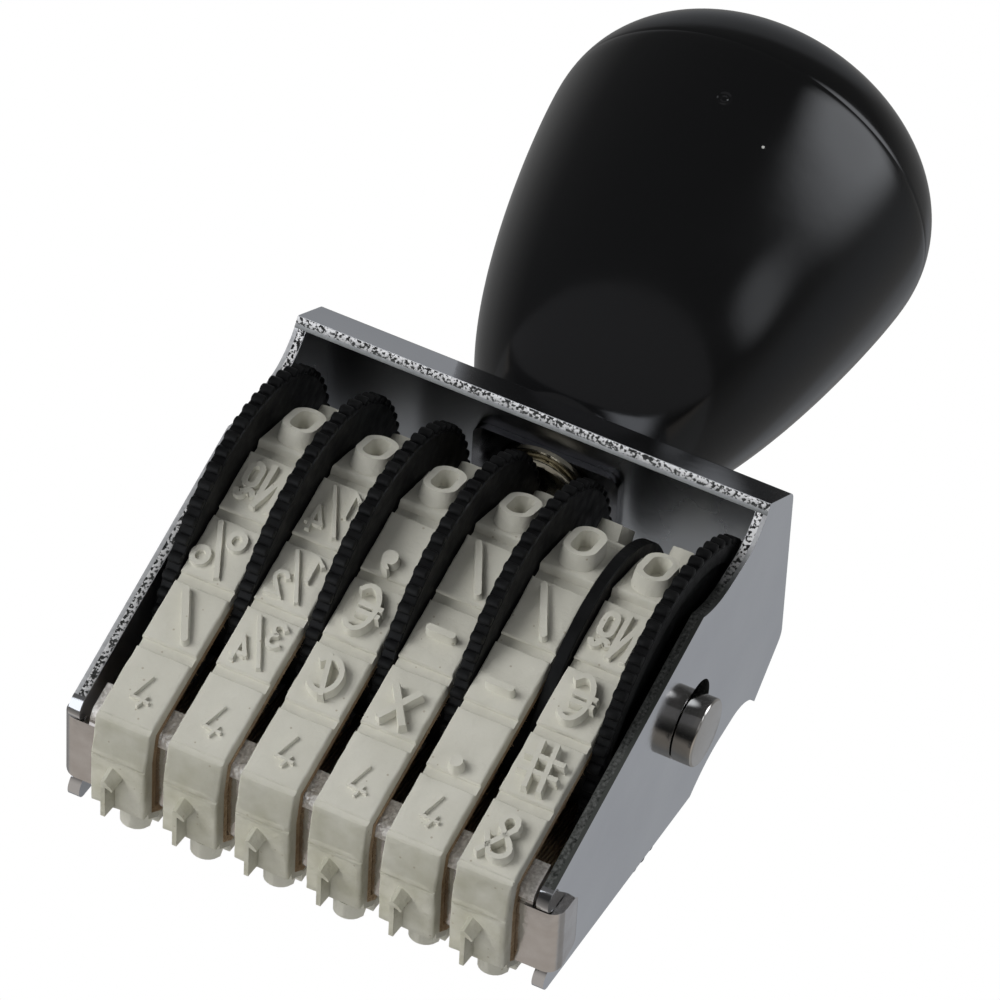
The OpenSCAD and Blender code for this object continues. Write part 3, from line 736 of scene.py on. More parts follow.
shoulder_z = WEB_RISE - SLOPE_H
web_path = [(-SHOULDER_HALF, shoulder_z), (-WEB_HALF, WEB_RISE)]
web_path += flipped(web_path)
web_part = push(bent_strip(web_path, SHEET, WEB_BEND, 6), -FRAME_HALF, FRAME_HALF)
left_cheek = push(cheek_outline(), -FRAME_HALF, SHEET - FRAME_HALF, [keyhole()])
right_cheek = push(cheek_outline(), FRAME_HALF - SHEET, FRAME_HALF, [keyhole()])
sheet_frame = union_of("sheet_frame", [web_part, left_cheek, right_cheek], plate)
bend = bmesh.new()
bend.from_mesh(sheet_frame.data)
fold = []
for e in bend.edges:
    facing = sorted((f.normal for f in e.link_faces), key=lambda n: abs(n.x))
    at_end = all(abs(v.co.x) > (FRAME_HALF - 0.01) * MM for v in e.verts)
    if at_end and len(facing) == 2 and facing[0].z > 0.5 and abs(facing[1].x) > 0.9:
        fold.append(e)
bmesh.ops.bevel(bend, geom=fold, offset=FOLD * MM, segments=4, affect="EDGES", profile=0.5, clamp_overlap=True)
bend.to_mesh(sheet_frame.data)
bend.free()
sheet_frame = bevelled(sheet_frame, EDGE)

# %% Sheared edges of the frame
# Heights above the axle, in mm, over which the painted shade on the cheeks' cut edges fades out.
CUT_LOW, SHADED_BELOW, SHADE_FADE = -25.9, 7, 5
slope_dir = Vector((SHOULDER_HALF - WEB_HALF, -SLOPE_H)).normalized()
slope_out = Vector((-slope_dir[1], slope_dir[0]))
mesh = sheet_frame.data
mesh.materials.append(sheared.mat)
mesh.materials.append(inside.mat)
depths, sheen_and_shade_at_corners = [0.0] * len(mesh.loops), [0.0] * len(mesh.loops)
for p in mesh.polygons:
    z = p.center.z / MM - AXLE_Z
    n = Vector((p.normal.y * (1 if p.center.y > 0 else -1), p.normal.z))
    on_web = abs(p.center.x) / MM < FRAME_HALF - SHEET
    cut_web = on_web and n.dot(slope_dir) > 0.75 and z < shoulder_z + 0.1
    cut_cheek = not on_web and abs(p.normal.x) < 0.2 and CUT_LOW < z < shoulder_z + 0.05
    inner = p.normal.z < -0.9 and z > 10 or p.normal.x * p.center.x < -0.5 * abs(p.center.x)
    p.material_index = 1 if cut_web or cut_cheek else 2 if inner else 0
    for i in p.loop_indices:
        co = mesh.vertices[mesh.loops[i].vertex_index].co / MM
        from_shoulder = Vector((abs(co.y), co.z - AXLE_Z)) - Vector((SHOULDER_HALF, shoulder_z))
        across = from_shoulder.dot(slope_out) / SHEET + 1
        out = (abs(co.x) - FRAME_HALF + SHEET) / SHEET
        # Painted shade: the cheeks' cut edges are painted dark below these heights, where the wheels shade
        # them. The right cheek gets only this; the left is kept lighter, most on its outer half. The web's
        # edge is painted lighter across the sheet.
        high = min(max((co.z - AXLE_Z - SHADED_BELOW) / SHADE_FADE, 0), 1)
        depths[i] = across if on_web else 1 - out
        sheen_and_shade_at_corners[i] = 0.15 + 0.85 * across if on_web else high if co.x > 0 else max(high, 0.45 + 0.55 * out)
for label, values in (("edge_depth", depths), ("edge_gleam", sheen_and_shade_at_corners)):
    mesh.attributes.new(label, "FLOAT", "CORNER").data.foreach_set("value", values)
settle(sheet_frame, "stamp", "frame_plate", "frame")

# %% [markdown]
# ## The wheels
# A wheel is turned in one piece: a drum for the band and a thin flange with ridges for the finger. The
# drum and the flange are one profile turned round the axle. The ridges repeat, so Geometry Nodes set one
# round bar at every point of a circle. The last wheel faces the other way and has a plain guide rim.

# %% Wheel profiles
FLANGE_R, FLANGE_T, RIDGE_H = 16.4, 1.3, 0.6
DRUM_R, DRUM_W, BORE_R = 9.7, 5.4, 3.2
HUB_R, RECESS_R, RECESS = 7.9, 14.0, 0.35
GUIDE_R, GUIDE_T = 13.4, 1.1
WHEEL_PITCH, ROW_LEFT = 6.8, -20.9
FILLET, LIP = 0.25, 0.15


def wheel_profile():
    end = FLANGE_T + DRUM_W
    root = FLANGE_R - RIDGE_H
    return [
        (BORE_R, 0), (HUB_R, 0), (HUB_R, RECESS), (RECESS_R, RECESS), (RECESS_R + LIP, 0), (root, 0),
        (root, FLANGE_T), (DRUM_R + FILLET, FLANGE_T), (DRUM_R, FLANGE_T + FILLET),
        (DRUM_R, end - RECESS), (HUB_R, end - RECESS), (HUB_R, end), (BORE_R, end),
    ]


def last_profile():
    end = GUIDE_T + DRUM_W + FLANGE_T
    root = FLANGE_R - RIDGE_H
    inner = end - FLANGE_T
    return [
        (BORE_R, 0), (GUIDE_R, 0), (GUIDE_R, GUIDE_T), (DRUM_R + FILLET, GUIDE_T), (DRUM_R, GUIDE_T + FILLET),
        (DRUM_R, inner - FILLET), (DRUM_R + FILLET, inner), (root, inner), (root, end),
        (RECESS_R + LIP, end), (RECESS_R, end - RECESS), (HUB_R, end - RECESS), (HUB_R, end), (BORE_R, end),
    ]


print("profile points:", len(wheel_profile()), len(last_profile()))

# %% Geometry Nodes helpers
SOCKETS = {
    float: "NodeSocketFloat", int: "NodeSocketInt", tuple: "NodeSocketVector",
    bpy.types.Object: "NodeSocketObject", bpy.types.Material: "NodeSocketMaterial",
}


class Recipe:
    """A Geometry Nodes tree with named inputs."""

    def __init__(self, name, **inputs):
        self.tree = bpy.data.node_groups.new(name, "GeometryNodeTree")
        face = self.tree.interface
        face.new_socket("Geometry", in_out="INPUT", socket_type="NodeSocketGeometry")
        face.new_socket("Geometry", in_out="OUTPUT", socket_type="NodeSocketGeometry")
        for label, kind in inputs.items():
            face.new_socket(label, in_out="INPUT", socket_type=SOCKETS[kind])
        self.ins = self.tree.nodes.new("NodeGroupInput").outputs
        self.out = self.tree.nodes.new("NodeGroupOutput").inputs[0]

    def node(self, kind, *values, **named):
        return add(self.tree, kind, *values, **named)

    def finish(self, geometry, material):
        real = self.node("GeometryNodeRealizeInstances", geometry)
        dress = self.node("GeometryNodeSetMaterial", real, Material=material)
        self.tree.links.new(dress.outputs[0], self.out)

    def finish_with(self, more):
        """Ends the tree with the geometry that came in and some more, in the finish that came in."""
        whole = self.node("GeometryNodeJoinGeometry")
        self.tree.links.new(more.outputs[0], whole.inputs[0])
        self.tree.links.new(self.ins["Geometry"], whole.inputs[0])
        self.finish(whole, self.ins["Finish"])

    def bake(self, obj, **values):
        mod = obj.modifiers.new("recipe", "NODES")
        mod.node_group = self.tree
        for item in self.tree.interface.items_tree:
            if item.item_type == "SOCKET" and item.in_out == "INPUT" and item.name in values:
                mod[item.identifier] = values[item.name]
        name = obj.name
        obj.name = name + "_plain"
        out = baked(obj, name)
        bpy.data.objects.remove(obj)
        return out


# %% Ridges on the flanges
RIDGES, RIDGE_R = 60, 0.52

end = (FLANGE_T - 0.08) / 2
bar_profile = [(0, -end), (RIDGE_R - 0.2, -end), (RIDGE_R - 0.06, 0.07 - end), (RIDGE_R, 0.22 - end)]
bar_profile += [(r, -h) for r, h in reversed(bar_profile)]
verts, faces = lathe(bar_profile, 14)
ridge_bar = make_piece("ridge_bar", [(z, x, y) for x, y, z in verts], faces, wheel_black)

knurl = Recipe(
    "knurl", Ridges=int, Circle=float, Bar=bpy.types.Object, Place=tuple, Finish=bpy.types.Material
)
ring = knurl.node("GeometryNodeMeshCircle", Vertices=knurl.ins["Ridges"], Radius=knurl.ins["Circle"])
on_axle = knurl.node(
    "GeometryNodeTransform", ring, Rotation=(0, math.pi / 2, 0), Translation=knurl.ins["Place"]
)
bar = knurl.node("GeometryNodeObjectInfo", Object=knurl.ins["Bar"]).outputs["Geometry"]
knurl.finish_with(knurl.node("GeometryNodeInstanceOnPoints", on_axle, Instance=bar))

for k in range(1, 7):
    left = ROW_LEFT + (k - 1) * WHEEL_PITCH
    profile = wheel_profile() if k < 6 else last_profile()
    verts, faces = lathe(soften(profile, 0.1), 144, along="X", closed=True, base=left)
    wheel = make_piece(f"number_wheel_{k}", verts, faces, wheel_black)
    mid = left + (FLANGE_T / 2 if k < 6 else GUIDE_T + DRUM_W + FLANGE_T / 2)
    wheel = knurl.bake(
        wheel, Ridges=RIDGES, Circle=(FLANGE_R - RIDGE_R) * MM, Bar=ridge_bar,
        Place=(mid * MM, 0, AXLE_Z * MM), Finish=wheel_black.mat,
    )
    soft_shade(wheel.data, 40)
    settle(wheel, f"wheel_{k}", "wheel_black", f"wheel_{k}")
bpy.data.objects.remove(ridge_bar)

# %% [markdown]
# ## The type bands
# A band is a loop of rubber: half round over the drum, then two straight runs that lean in to the nose,
# and a flat with two bevels under it. The path is worked out from lines given by the angle of their normal
# and their distance from the axle. Blocks repeat along the path, so Geometry Nodes place them.

# %% Band path
BAND_W, BAND_SIDE = 5.1, 0.15
RUBBER, LINER, SEAT = 1.5, 0.6, 0.05
GROOVE_D, GROOVE_W = 0.5, 1.0
FACE_R, FACE_DROP, RELIEF = 12.1, 28.65, 1.55
CREASE_Y, BEVEL, BACK_BEVEL = 3.3, 12, 48
NOSE_BEND, BEND_F, BEND_B, BEND_DROP = 1.3, 4.1, 2.6, 25.2
BLOCKS, LAST_CUT, NOSE_BACK = 13, 0.9, 3.0
LOOP_R, NOSE_REACH = 10.0, 1.7


def lean_of(reach):
    """Angle by which a run leans in, from the drum to a point so far from the middle of the nose."""
    at = Vector((reach, BEND_DROP))
    return math.degrees(math.atan2(at[1], at[0]) - math.acos(LOOP_R / at.length))


LEAN_F, LEAN_B = lean_of(BEND_F + NOSE_REACH), lean_of(BEND_B + NOSE_REACH)
FRONT, BACK = 180 + LEAN_F, -LEAN_B


def ray_down(degrees):
    """Direction that a bevel faces, as (back, down)."""
    return Vector((math.sin(math.radians(degrees)), math.cos(math.radians(degrees))))


BEVEL_D = ray_down(BEVEL).dot(Vector((CREASE_Y, FACE_DROP)))
BACK_D = ray_down(BACK_BEVEL).dot(Vector((BEND_B, BEND_DROP))) + NOSE_BEND + SEAT + LINER + RUBBER


def meet(a, da, b, db):
    (ca, sa), (cb, sb) = ray(a), ray(b)
    return Vector((da * sb - db * sa, db * ca - da * cb)) / math.sin(math.radians(b - a))


def mirror_y(p):
    return Vector((-p[0], p[1]))


def front_corner(off):
    return mirror_y(meet(-LEAN_F, FACE_R - off, BEVEL - 90, BEVEL_D - off))


def front_flat(off):
    return mirror_y(meet(BEVEL - 90, BEVEL_D - off, -90, FACE_DROP - off))


def back_flat(off):
    return meet(BACK_BEVEL - 90, BACK_D - off, -90, FACE_DROP - off)


def back_corner(off):
    return meet(BACK, FACE_R - off, BACK_BEVEL - 90, BACK_D - off)


def band_arc(off, steps=60):
    return [(FACE_R - off) * ray(FRONT + (BACK - FRONT) * i / steps) for i in range(steps + 1)]


def band_loop(off):
    return band_arc(off) + [back_corner(off), back_flat(off), front_flat(off), front_corner(off)]


pitch_r = FACE_R - RUBBER / 2
run_l = (front_corner(0) - FACE_R * ray(FRONT)).length
back_l = (back_corner(0) - FACE_R * ray(BACK)).length
arc_l = pitch_r * math.radians(FRONT - BACK)
loop_l = run_l + arc_l + back_l
BLOCK_PITCH = (loop_l + LAST_CUT) / BLOCKS
BLOCK_L = BLOCK_PITCH - GROOVE_W


def band_place(s, off=0.0):
    """Point and face angle at a distance along the loop from the front corner."""
    if s < run_l:
        p, a = front_corner(0) + s * Vector((ray(FRONT)[1], -ray(FRONT)[0])), FRONT
    elif s < run_l + arc_l:
        a = FRONT - math.degrees((s - run_l) / pitch_r)
        p = FACE_R * ray(a)
    else:
        p, a = FACE_R * ray(BACK) + (s - run_l - arc_l) * Vector((ray(BACK)[1], -ray(BACK)[0])), BACK
    return p - off * ray(a), a


def places_of(creep):
    """Middle, face angle and length of every block of a band whose grooves have crept up by some mm."""
    cuts = [0, *((i + 1) * BLOCK_PITCH + creep for i in range(BLOCKS - 1)), loop_l]
    return [(*band_place((a + b) / 2), b - a - GROOVE_W) for a, b in zip(cuts, cuts[1:])]


nose_place = (Vector(((NOSE_BACK - CREASE_Y) / 2, -FACE_DROP)), -90, NOSE_BACK + CREASE_Y - 0.1)
upper, lower = front_corner(0), front_flat(0)
bevel_place = ((upper + lower) / 2, -BEVEL - 90, (upper - lower).length - 0.2)
print("lean of the runs, degrees:", round(LEAN_F, 2), round(LEAN_B, 2))
print("block pitch, mm:", round(BLOCK_PITCH, 2))

# %% [markdown]
# The type is drawn as strokes. Each stroke becomes a ridge with drafted walls, wide at the foot and narrow
# at the printing face, as moulded rubber type has. Curved figures are arcs joined to straight lines. Bars,
# dots and commas are too thick for a stroke, so they are given as two outlines, one for the top and one for
# the foot. Type prints reversed, so every figure is drawn the right way round and then mirrored. The small
# mark "m" isn't type and isn't mirrored.

# %% Figures
DOT_DRAFT, BAR_DRAFT, DROP_DRAFT = 0.22, 0.14, 1.2


def arc(cx, cy, rx, ry, a0, a1, n=10):
    turns = [math.radians(a0 + (a1 - a0) * i / n) for i in range(n + 1)]
    return [(cx + rx * math.cos(a), cy + ry * math.sin(a)) for a in turns]


def oval(cx, cy, rx, ry, n=24):
    """A closed oval with straight sides where it is tall."""
    flat = max(ry - rx, 0)
    top = arc(cx, cy + flat, rx, min(rx, ry), 0, 180, n // 2)
    return top + arc(cx, cy - flat, rx, min(rx, ry), 180, 360, n // 2), True


def line(*pts):
    return list(pts), False


def dot(cx, cy, r):
    """A round stud, as the outlines of its top and of its foot."""
    rim = [(math.cos(i * math.pi / 10), math.sin(i * math.pi / 10)) for i in range(20)]
    return [[(cx + q * x, cy + q * y) for x, y in rim] for q in (r, r + DOT_DRAFT)]


def pill(a, b, r):
    """A bar with round ends, as the outlines of its top and of its foot."""
    lean = math.degrees(math.atan2(b[1] - a[1], b[0] - a[0]))
    ends = (b, lean - 90), (a, lean + 90)
    return [[p for c, t in ends for p in arc(*c, q, q, t, t + 180, 8)] for q in (r, r + BAR_DRAFT)]


def drop(cx, cy):
    """A comma, as the outlines of its top and of its foot."""
    tail = [(-0.05, -0.36), (-0.15, -0.5), (-0.4, -0.7), (-0.28, -0.94), (0.2, -0.8), (0.55, -0.4)]
    edge = arc(0, 0.3, 0.72, 0.72, -30, 235, 14) + tail
    return [[(cx + q * x, cy + q * y) for x, y in edge] for q in (1, DROP_DRAFT)]


ONE_TOP = [(0.78, -2.35), (0.78, 2.1), (0.68, 2.3), (0.46, 2.3), (-0.1, 1.85)]
ONE_TOP += [(-0.36, 1.5), (-0.28, 1.3), (0.36, 1.6), (0.36, -2.35)]
ONE_FOOT = [(0.94, -2.45), (0.94, 2.15), (0.8, 2.46), (0.42, 2.48), (-0.2, 1.98)]
ONE_FOOT += [(-0.54, 1.52), (-0.42, 1.12), (0.2, 1.4), (0.2, -2.45)]
SLASH = line((-1.05, -2.2), (1.05, 2.2))
FIGURES = {
    "0": [oval(0, 0, 1.22, 2.1)],
    "1": [(ONE_TOP, ONE_FOOT)],
    "2": [(arc(0, 0.95, 1.05, 1.05, 165, -35, 12) + [(-1.05, -2.0), (1.15, -2.0)], False)],
    "3": [(arc(0, 1.0, 0.95, 0.95, 150, -90, 10) + arc(0, -0.98, 1.05, 1.03, 90, -150, 12), False)],
    "4": [line((0.5, -2.1), (0.5, 2.0), (-1.2, -0.9), (1.2, -0.9))],
    "5": [([(1.0, 2.0), (-0.8, 2.0), (-0.95, 0.3)] + arc(0, -0.7, 1.1, 1.3, 110, -150, 14), False)],
    "6": [(arc(0.3, 0.2, 1.35, 1.85, 75, 180, 8), False), oval(0, -0.85, 1.05, 1.15)],
    "7": [line((-1.1, 2.0), (1.1, 2.0), (-0.35, -2.1))],
    "8": [oval(0, 1.0, 0.9, 0.95), oval(0, -1.0, 1.05, 1.05)],
    "9": [(arc(-0.3, -0.2, 1.35, 1.85, -105, 0, 8), False), oval(0, 0.85, 1.05, 1.15)],
    "/": [pill((-1.05, -2.2), (1.05, 2.2), 0.3)],
    "-": [pill((-1.05, 0), (1.05, 0), 0.32)],
    "_": [pill((-1.0, -1.2), (1.0, -1.2), 0.3)],
    "x": [line((-1.0, -2.3), (1.0, 0.7)), line((-1.0, 0.7), (1.0, -2.3))],
    ",": [drop(0.3, -2.0)],
    ".": [dot(0.05, -2.3, 0.58)],
    "%": [
        line((-0.6, -2.5), (1.45, 2.3)),
        oval(-0.65, 1.25, 0.66, 0.78, 18), oval(1.6, -1.2, 0.66, 0.78, 18),
    ],
    "n": [
        line((-1.6, -2.0), (-1.6, 2.0)), line((-1.6, 2.0), (-0.25, -2.0)), line((-0.25, -2.0), (-0.25, 2.0)),
        oval(1.05, 0.7, 0.55, 1.1, 18),
        (arc(0.7, -1.2, 0.4, 0.35, 170, 0, 6) + arc(1.45, -1.2, 0.35, 0.35, 180, 350, 6), False),
    ],
    "e": [
        (arc(0.25, 0, 1.2, 2.2, 50, 310, 18), False),
        line((-1.3, 0.38), (0.5, 0.38)), line((-1.3, -0.38), (0.4, -0.38)),
    ],
    "c": [(arc(0.1, -0.1, 1.3, 1.7, 45, 315, 18), False), line((-0.35, -1.9), (0.55, 1.7))],
    "#": [
        line((-0.85, -2.3), (-0.4, 2.0)), line((0.5, -2.3), (0.95, 2.0)),
        line((-1.6, 0.65), (1.6, 0.65)), line((-1.6, -0.85), (1.6, -0.85)),
    ],
    "&": [line(
        (1.3, -2.0), (-0.7, 0.75), *arc(-0.1, 1.25, 0.7, 0.75, 220, -40, 10),
        (-0.75, -0.35), *arc(-0.25, -1.2, 0.95, 0.85, 140, 340, 10), (1.25, -0.3),
    )],
    "m": [
        line((-0.6, -0.7), (0.2, 1.5)), line((-0.6, -0.72), (1.0, -0.85)), line((0.3, -1.4), (0.65, -0.4)),
    ],
}
SMALL = {
    "1": [line((0.1, -0.8), (0.1, 0.8), (-0.3, 0.45))],
    "2": [(arc(0, 0.4, 0.4, 0.4, 160, -35, 7) + [(-0.4, -0.8), (0.45, -0.8)], False)],
    "3": [(arc(0, 0.42, 0.36, 0.38, 150, -90, 6) + arc(0, -0.4, 0.4, 0.42, 90, -150, 7), False)],
    "4": [
        line((0.2, -0.8), (0.2, 0.8)), line((0.2, 0.8), (-0.45, -0.35)), line((-0.45, -0.35), (0.45, -0.35)),
    ],
}


def moved(strokes, u, v, size=1.0):
    return [([(u + size * x, v + size * y) for x, y in pts], shut) for pts, shut in strokes]


for key, top, under in (("q", "1", "4"), ("h", "1", "2"), ("t", "3", "4")):
    FIGURES[key] = [SLASH, *moved(SMALL[top], -1.1, 1.15, 1.4), *moved(SMALL[under], 1.15, -1.15, 1.4)]
print("figures drawn:", len(FIGURES))

# %% Ridges of type
SUNK = 0.15


def ridge(pts, shut, top_w, foot_w, height):
    """Drafted ridge along a stroke in a plane, from just under the face up to the printing height."""
    pts = [Vector(p) for p in pts]
    if shut and (pts[0] - pts[-1]).length < 1e-6:
        pts = pts[:-1]
    n = len(pts)
    verts, faces = [], []
    for i, p in enumerate(pts):
        a = pts[i - 1] if i or shut else None
        b = pts[(i + 1) % n] if i + 1 < n or shut else None
        d0 = (p - a).normalized() if a is not None else (b - p).normalized()
        d1 = (b - p).normalized() if b is not None else d0
        mid = (d0 + d1).normalized()
        side = Vector((-mid[1], mid[0])) / max(mid.dot(d1), 0.55)
        for w, h in ((foot_w, -SUNK), (top_w, height)):
            q = p
            if not shut and i == 0:
                q = p - d1 * w / 2
            if not shut and i == n - 1:
                q = p + d0 * w / 2
            for s in (1, -1):
                c = q + side * (s * w / 2)
                verts.append((c[0], c[1], h))
    spans = [(i, (i + 1) % n) for i in range(n if shut else n - 1)]
    for i, j in spans:
        a, b = 4 * i, 4 * j
        faces += [(a + u, b + u, b + v, a + v) for u, v in ((0, 2), (2, 3), (3, 1), (1, 0))]
    if not shut:
        e = 4 * (n - 1)
        faces += [(0, 2, 3, 1), (e, e + 1, e + 3, e + 2)]
    return verts, faces


def slab(top, foot, height):
    """A solid with drafted walls between two outlines of as many points."""
    n = len(top)
    verts = [(*p, -SUNK) for p in foot] + [(*p, height) for p in top]
    walls = [(i, (i + 1) % n, n + (i + 1) % n, n + i) for i in range(n)]
    return verts, [list(range(n)), list(range(n, 2 * n)), *walls]


SIGN_RELIEF, STROKE_STEP = 1.05, 0.015
STROKES = {"m": (0.22, 0.34, 0.38), "%": (0.46, 0.62, 0.45), "n": (0.5, 0.66, 0.55), "/": (0, 0, 0.75)}
STROKES |= {sign: (0.34, 0.52, 0.5) for sign in "qht"}
STROKES |= {sign: (0.46, 0.66, SIGN_RELIEF) for sign in "#&ec"}
STROKES |= {sign: (0.58, 0.84, SIGN_RELIEF) for sign in "-_x,."}


def figure_at(sign, place, middle_x):
    """All ridges of a figure, stood on a block face. Each is a hair lower than the one before it."""
    point, angle, _ = place
    side = 1 if sign == "m" else -1
    top_w, foot_w, height = STROKES.get(sign, (0.62, 1.0, RELIEF))
    out = ray(angle)
    up = Vector((out[1], -out[0]))
    parts = []
    for i, (pts, shut) in enumerate(FIGURES[sign]):
        h = height - STROKE_STEP * i
        vs, fs = ridge(pts, shut, top_w, foot_w, h) if isinstance(shut, bool) else slab(pts, shut, h)
        stood = []
        for u, v, h in vs:
            q = point + up * v + out * h
            stood.append((middle_x + side * u, q[0], AXLE_Z + q[1]))
        parts.append((stood, fs))
    return parts


# %% [markdown]
# One block is made as a mesh with soft corners. Geometry Nodes stand it on points along the loop that carry
# their own tilt and length, and a little noise moves its skin, because no two moulded blocks are quite alike.

# %% Blocks on the loop
BLOCK_H, BLOCK_ROUND, UNEVEN = 1.3, 0.2, 0.2

block_mesh = bmesh.new()
bmesh.ops.create_cube(block_mesh, size=1)
bmesh.ops.scale(block_mesh, verts=block_mesh.verts, vec=Vector((BAND_W, BLOCK_L, BLOCK_H)) * MM)
bmesh.ops.translate(block_mesh, verts=block_mesh.verts, vec=(0, 0, -BLOCK_H / 2 * MM))
face_edges = [e for e in block_mesh.edges if all(v.co.z > -0.1 * MM for v in e.verts)]
bmesh.ops.bevel(block_mesh, geom=face_edges, offset=BLOCK_ROUND * MM, segments=3, affect="EDGES", profile=0.5)
long_edges = [e for e in block_mesh.edges if e.calc_length() > 0.9 * MM]
bmesh.ops.subdivide_edges(block_mesh, edges=long_edges, cuts=6, use_grid_fill=True)
block_data = bpy.data.meshes.new("type_block")
block_mesh.to_mesh(block_data)
block_mesh.free()
block_shape = bpy.data.objects.new("type_block", block_data)
scene.collection.objects.link(block_shape)

row = Recipe("blocks_on_loop", Block=bpy.types.Object, Finish=bpy.types.Material)
shape = row.node("GeometryNodeObjectInfo", Object=row.ins["Block"]).outputs["Geometry"]
as_vector = {"data_type": "FLOAT_VECTOR"}
tilt = row.node("GeometryNodeInputNamedAttribute", "tilt", setup=as_vector)
stretch = row.node("GeometryNodeInputNamedAttribute", "stretch", setup=as_vector)
stand = row.node(
    "GeometryNodeInstanceOnPoints", row.ins["Geometry"], Instance=shape, Rotation=tilt, Scale=stretch
)
solid_row = row.node("GeometryNodeRealizeInstances", stand)
noise = row.node("ShaderNodeTexNoise", Scale=650.0, Detail=2.0).outputs["Color"]
about = row.node("ShaderNodeVectorMath", noise, (0.5, 0.5, 0.5), setup={"operation": "SUBTRACT"})
slight = row.node("ShaderNodeVectorMath", about, Scale=UNEVEN * MM, setup={"operation": "SCALE"})
row.finish(row.node("GeometryNodeSetPosition", solid_row, Offset=slight), row.ins["Finish"])


def blocks(name, middle_x, spots):
    """Points along the loop that know their tilt and stretch, dressed with blocks."""
    mesh = bpy.data.meshes.new(name)
    mesh.from_pydata([Vector((middle_x, p[0], AXLE_Z + p[1])) * MM for p, _, _ in spots], [], [])
    for label, values in (
        ("tilt", [(math.radians(a - 90), 0, 0) for _, a, _ in spots]),
        ("stretch", [(1, length / BLOCK_L, 1) for _, _, length in spots]),
    ):
        att = mesh.attributes.new(label, "FLOAT_VECTOR", "POINT")
        att.data.foreach_set("vector", [c for v in values for c in v])
    obj = bpy.data.objects.new(name, mesh)
    scene.collection.objects.link(obj)
    return row.bake(obj, Block=block_shape, Finish=rubber.mat)


# %% [markdown]
# A band in use creeps on its wheel, so its grooves and signs sit a little higher or lower than on the next
# band. The ground under the blocks is one outline: shallow at the front crease and at the nose, deep where
# the band bends round the back of the nose.

# %% Six bands
SIGNS = ["m/%n", "mthq", "mce,", "mx-/", "m._/", "&#en"]
CREEP = [1.0, 1.3, 0.65, 1.35, 0, 0.4]
DIGITS = "098765432"
GROUND_IN = 0.04
drum_starts = [ROW_LEFT + k * WHEEL_PITCH + (FLANGE_T if k < 5 else GUIDE_T) for k in range(6)]
band_middles = [x + BAND_SIDE + BAND_W / 2 for x in drum_starts]


def merged(name, objs):
    """One mesh from several objects."""
    bm = bmesh.new()
    for o in objs:
        bm.from_mesh(o.data)
    mesh = bpy.data.meshes.new(name)
    bm.to_mesh(mesh)
    bm.free()
    for m in objs[0].data.materials:
        mesh.materials.append(m)
    for o in objs:
        bpy.data.objects.remove(o)
    obj = bpy.data.objects.new(name, mesh)
    scene.collection.objects.link(obj)
    return obj


CREASE_D, BEND_D, STEP_IN = 0.15, 0.9, 1.0
ground = band_arc(GROOVE_D)
ground += [band_place(loop_l - STEP_IN, GROOVE_D)[0], band_place(loop_l - STEP_IN, BEND_D)[0]]
ground += [back_corner(BEND_D), back_flat(BEND_D)]
ground += [Vector((NOSE_BACK - STEP_IN, d - FACE_DROP)) for d in (BEND_D, CREASE_D)]
ground += [front_flat(CREASE_D), front_corner(CREASE_D)]
ground += [band_place(STEP_IN, CREASE_D)[0], band_place(STEP_IN, GROOVE_D)[0]]

for k, middle in enumerate(band_middles):
    left, right = middle - BAND_W / 2 + GROUND_IN, middle + BAND_W / 2 - GROUND_IN
    base = push(ground, left, right, [band_loop(RUBBER)])
    places = places_of(CREEP[k])
    sign_places = [places_of(0)[0], *places[1:]]
    figures = []
    for sign, place in zip(SIGNS[k] + DIGITS, sign_places):
        figures += figure_at(sign, place, middle)
    figures += figure_at("1", (Vector((0, -FACE_DROP)), -90, 0), middle)
    loop_obj = make_piece(f"loop_{k + 1}", *base, rubber)
    type_obj = make_piece(f"type_{k + 1}", *joined(*figures), rubber)
    block_obj = blocks(f"blocks_{k + 1}", middle, [*places, nose_place, bevel_place])
    band = merged(f"rubber_band_{k + 1}", [loop_obj, type_obj, block_obj])
    soft_shade(band.data, 40)
    settle(band, "stamp", "type_rubber", f"type_band_{k + 1}")
bpy.data.objects.remove(block_shape)

# %% [markdown]
# ## The woven tape inside each band
# Rubber alone would stretch, so each band is moulded on a tape. Only the edge of the tape shows, as a brown
# line with loose threads. The tape is a pushed loop, and Geometry Nodes scatter short threads on its sides
# with a fixed seed. Each thread is a thin three-sided spike, because hundreds of them are needed.

# %% Tape and loose threads
THREADS, THREAD_L, THREAD_TOP, THREAD_FOOT = 9.0e6, 0.3, 0.008, 0.03

fray = Recipe("loose_threads", Density=float, Length=float, Finish=bpy.types.Material)
facing = fray.node("ShaderNodeSeparateXYZ", fray.node("GeometryNodeInputNormal"))
flat_side = fray.node("ShaderNodeMath", facing, setup={"operation": "ABSOLUTE"})
on_side = fray.node("ShaderNodeMath", flat_side, 0.7, setup={"operation": "GREATER_THAN"})
roots = fray.node(
    "GeometryNodeDistributePointsOnFaces", fray.ins["Geometry"], on_side, Density=fray.ins["Density"], Seed=7
).outputs
spike = fray.node(
    "GeometryNodeMeshCone", Vertices=3, Radius_Top=THREAD_TOP * MM, Radius_Bottom=THREAD_FOOT * MM,
    Depth=fray.ins["Length"],
)
wild = fray.node("FunctionNodeRandomValue", (-1.1, -1.1, 0), (1.1, 1.1, 6.28), setup=as_vector, Seed=3)
lean_out = fray.node(
    "FunctionNodeRotateRotation", roots["Rotation"], Rotate_By=wild, setup={"rotation_space": "LOCAL"}
)
long_short = fray.node("FunctionNodeRandomValue", None, None, 0.3, 1.0, setup={"data_type": "FLOAT"}, Seed=5)
hairs = fray.node(
    "GeometryNodeInstanceOnPoints", roots["Points"], Instance=spike, Rotation=lean_out,
    Scale=long_short.outputs[1],
)
fray.finish_with(hairs)

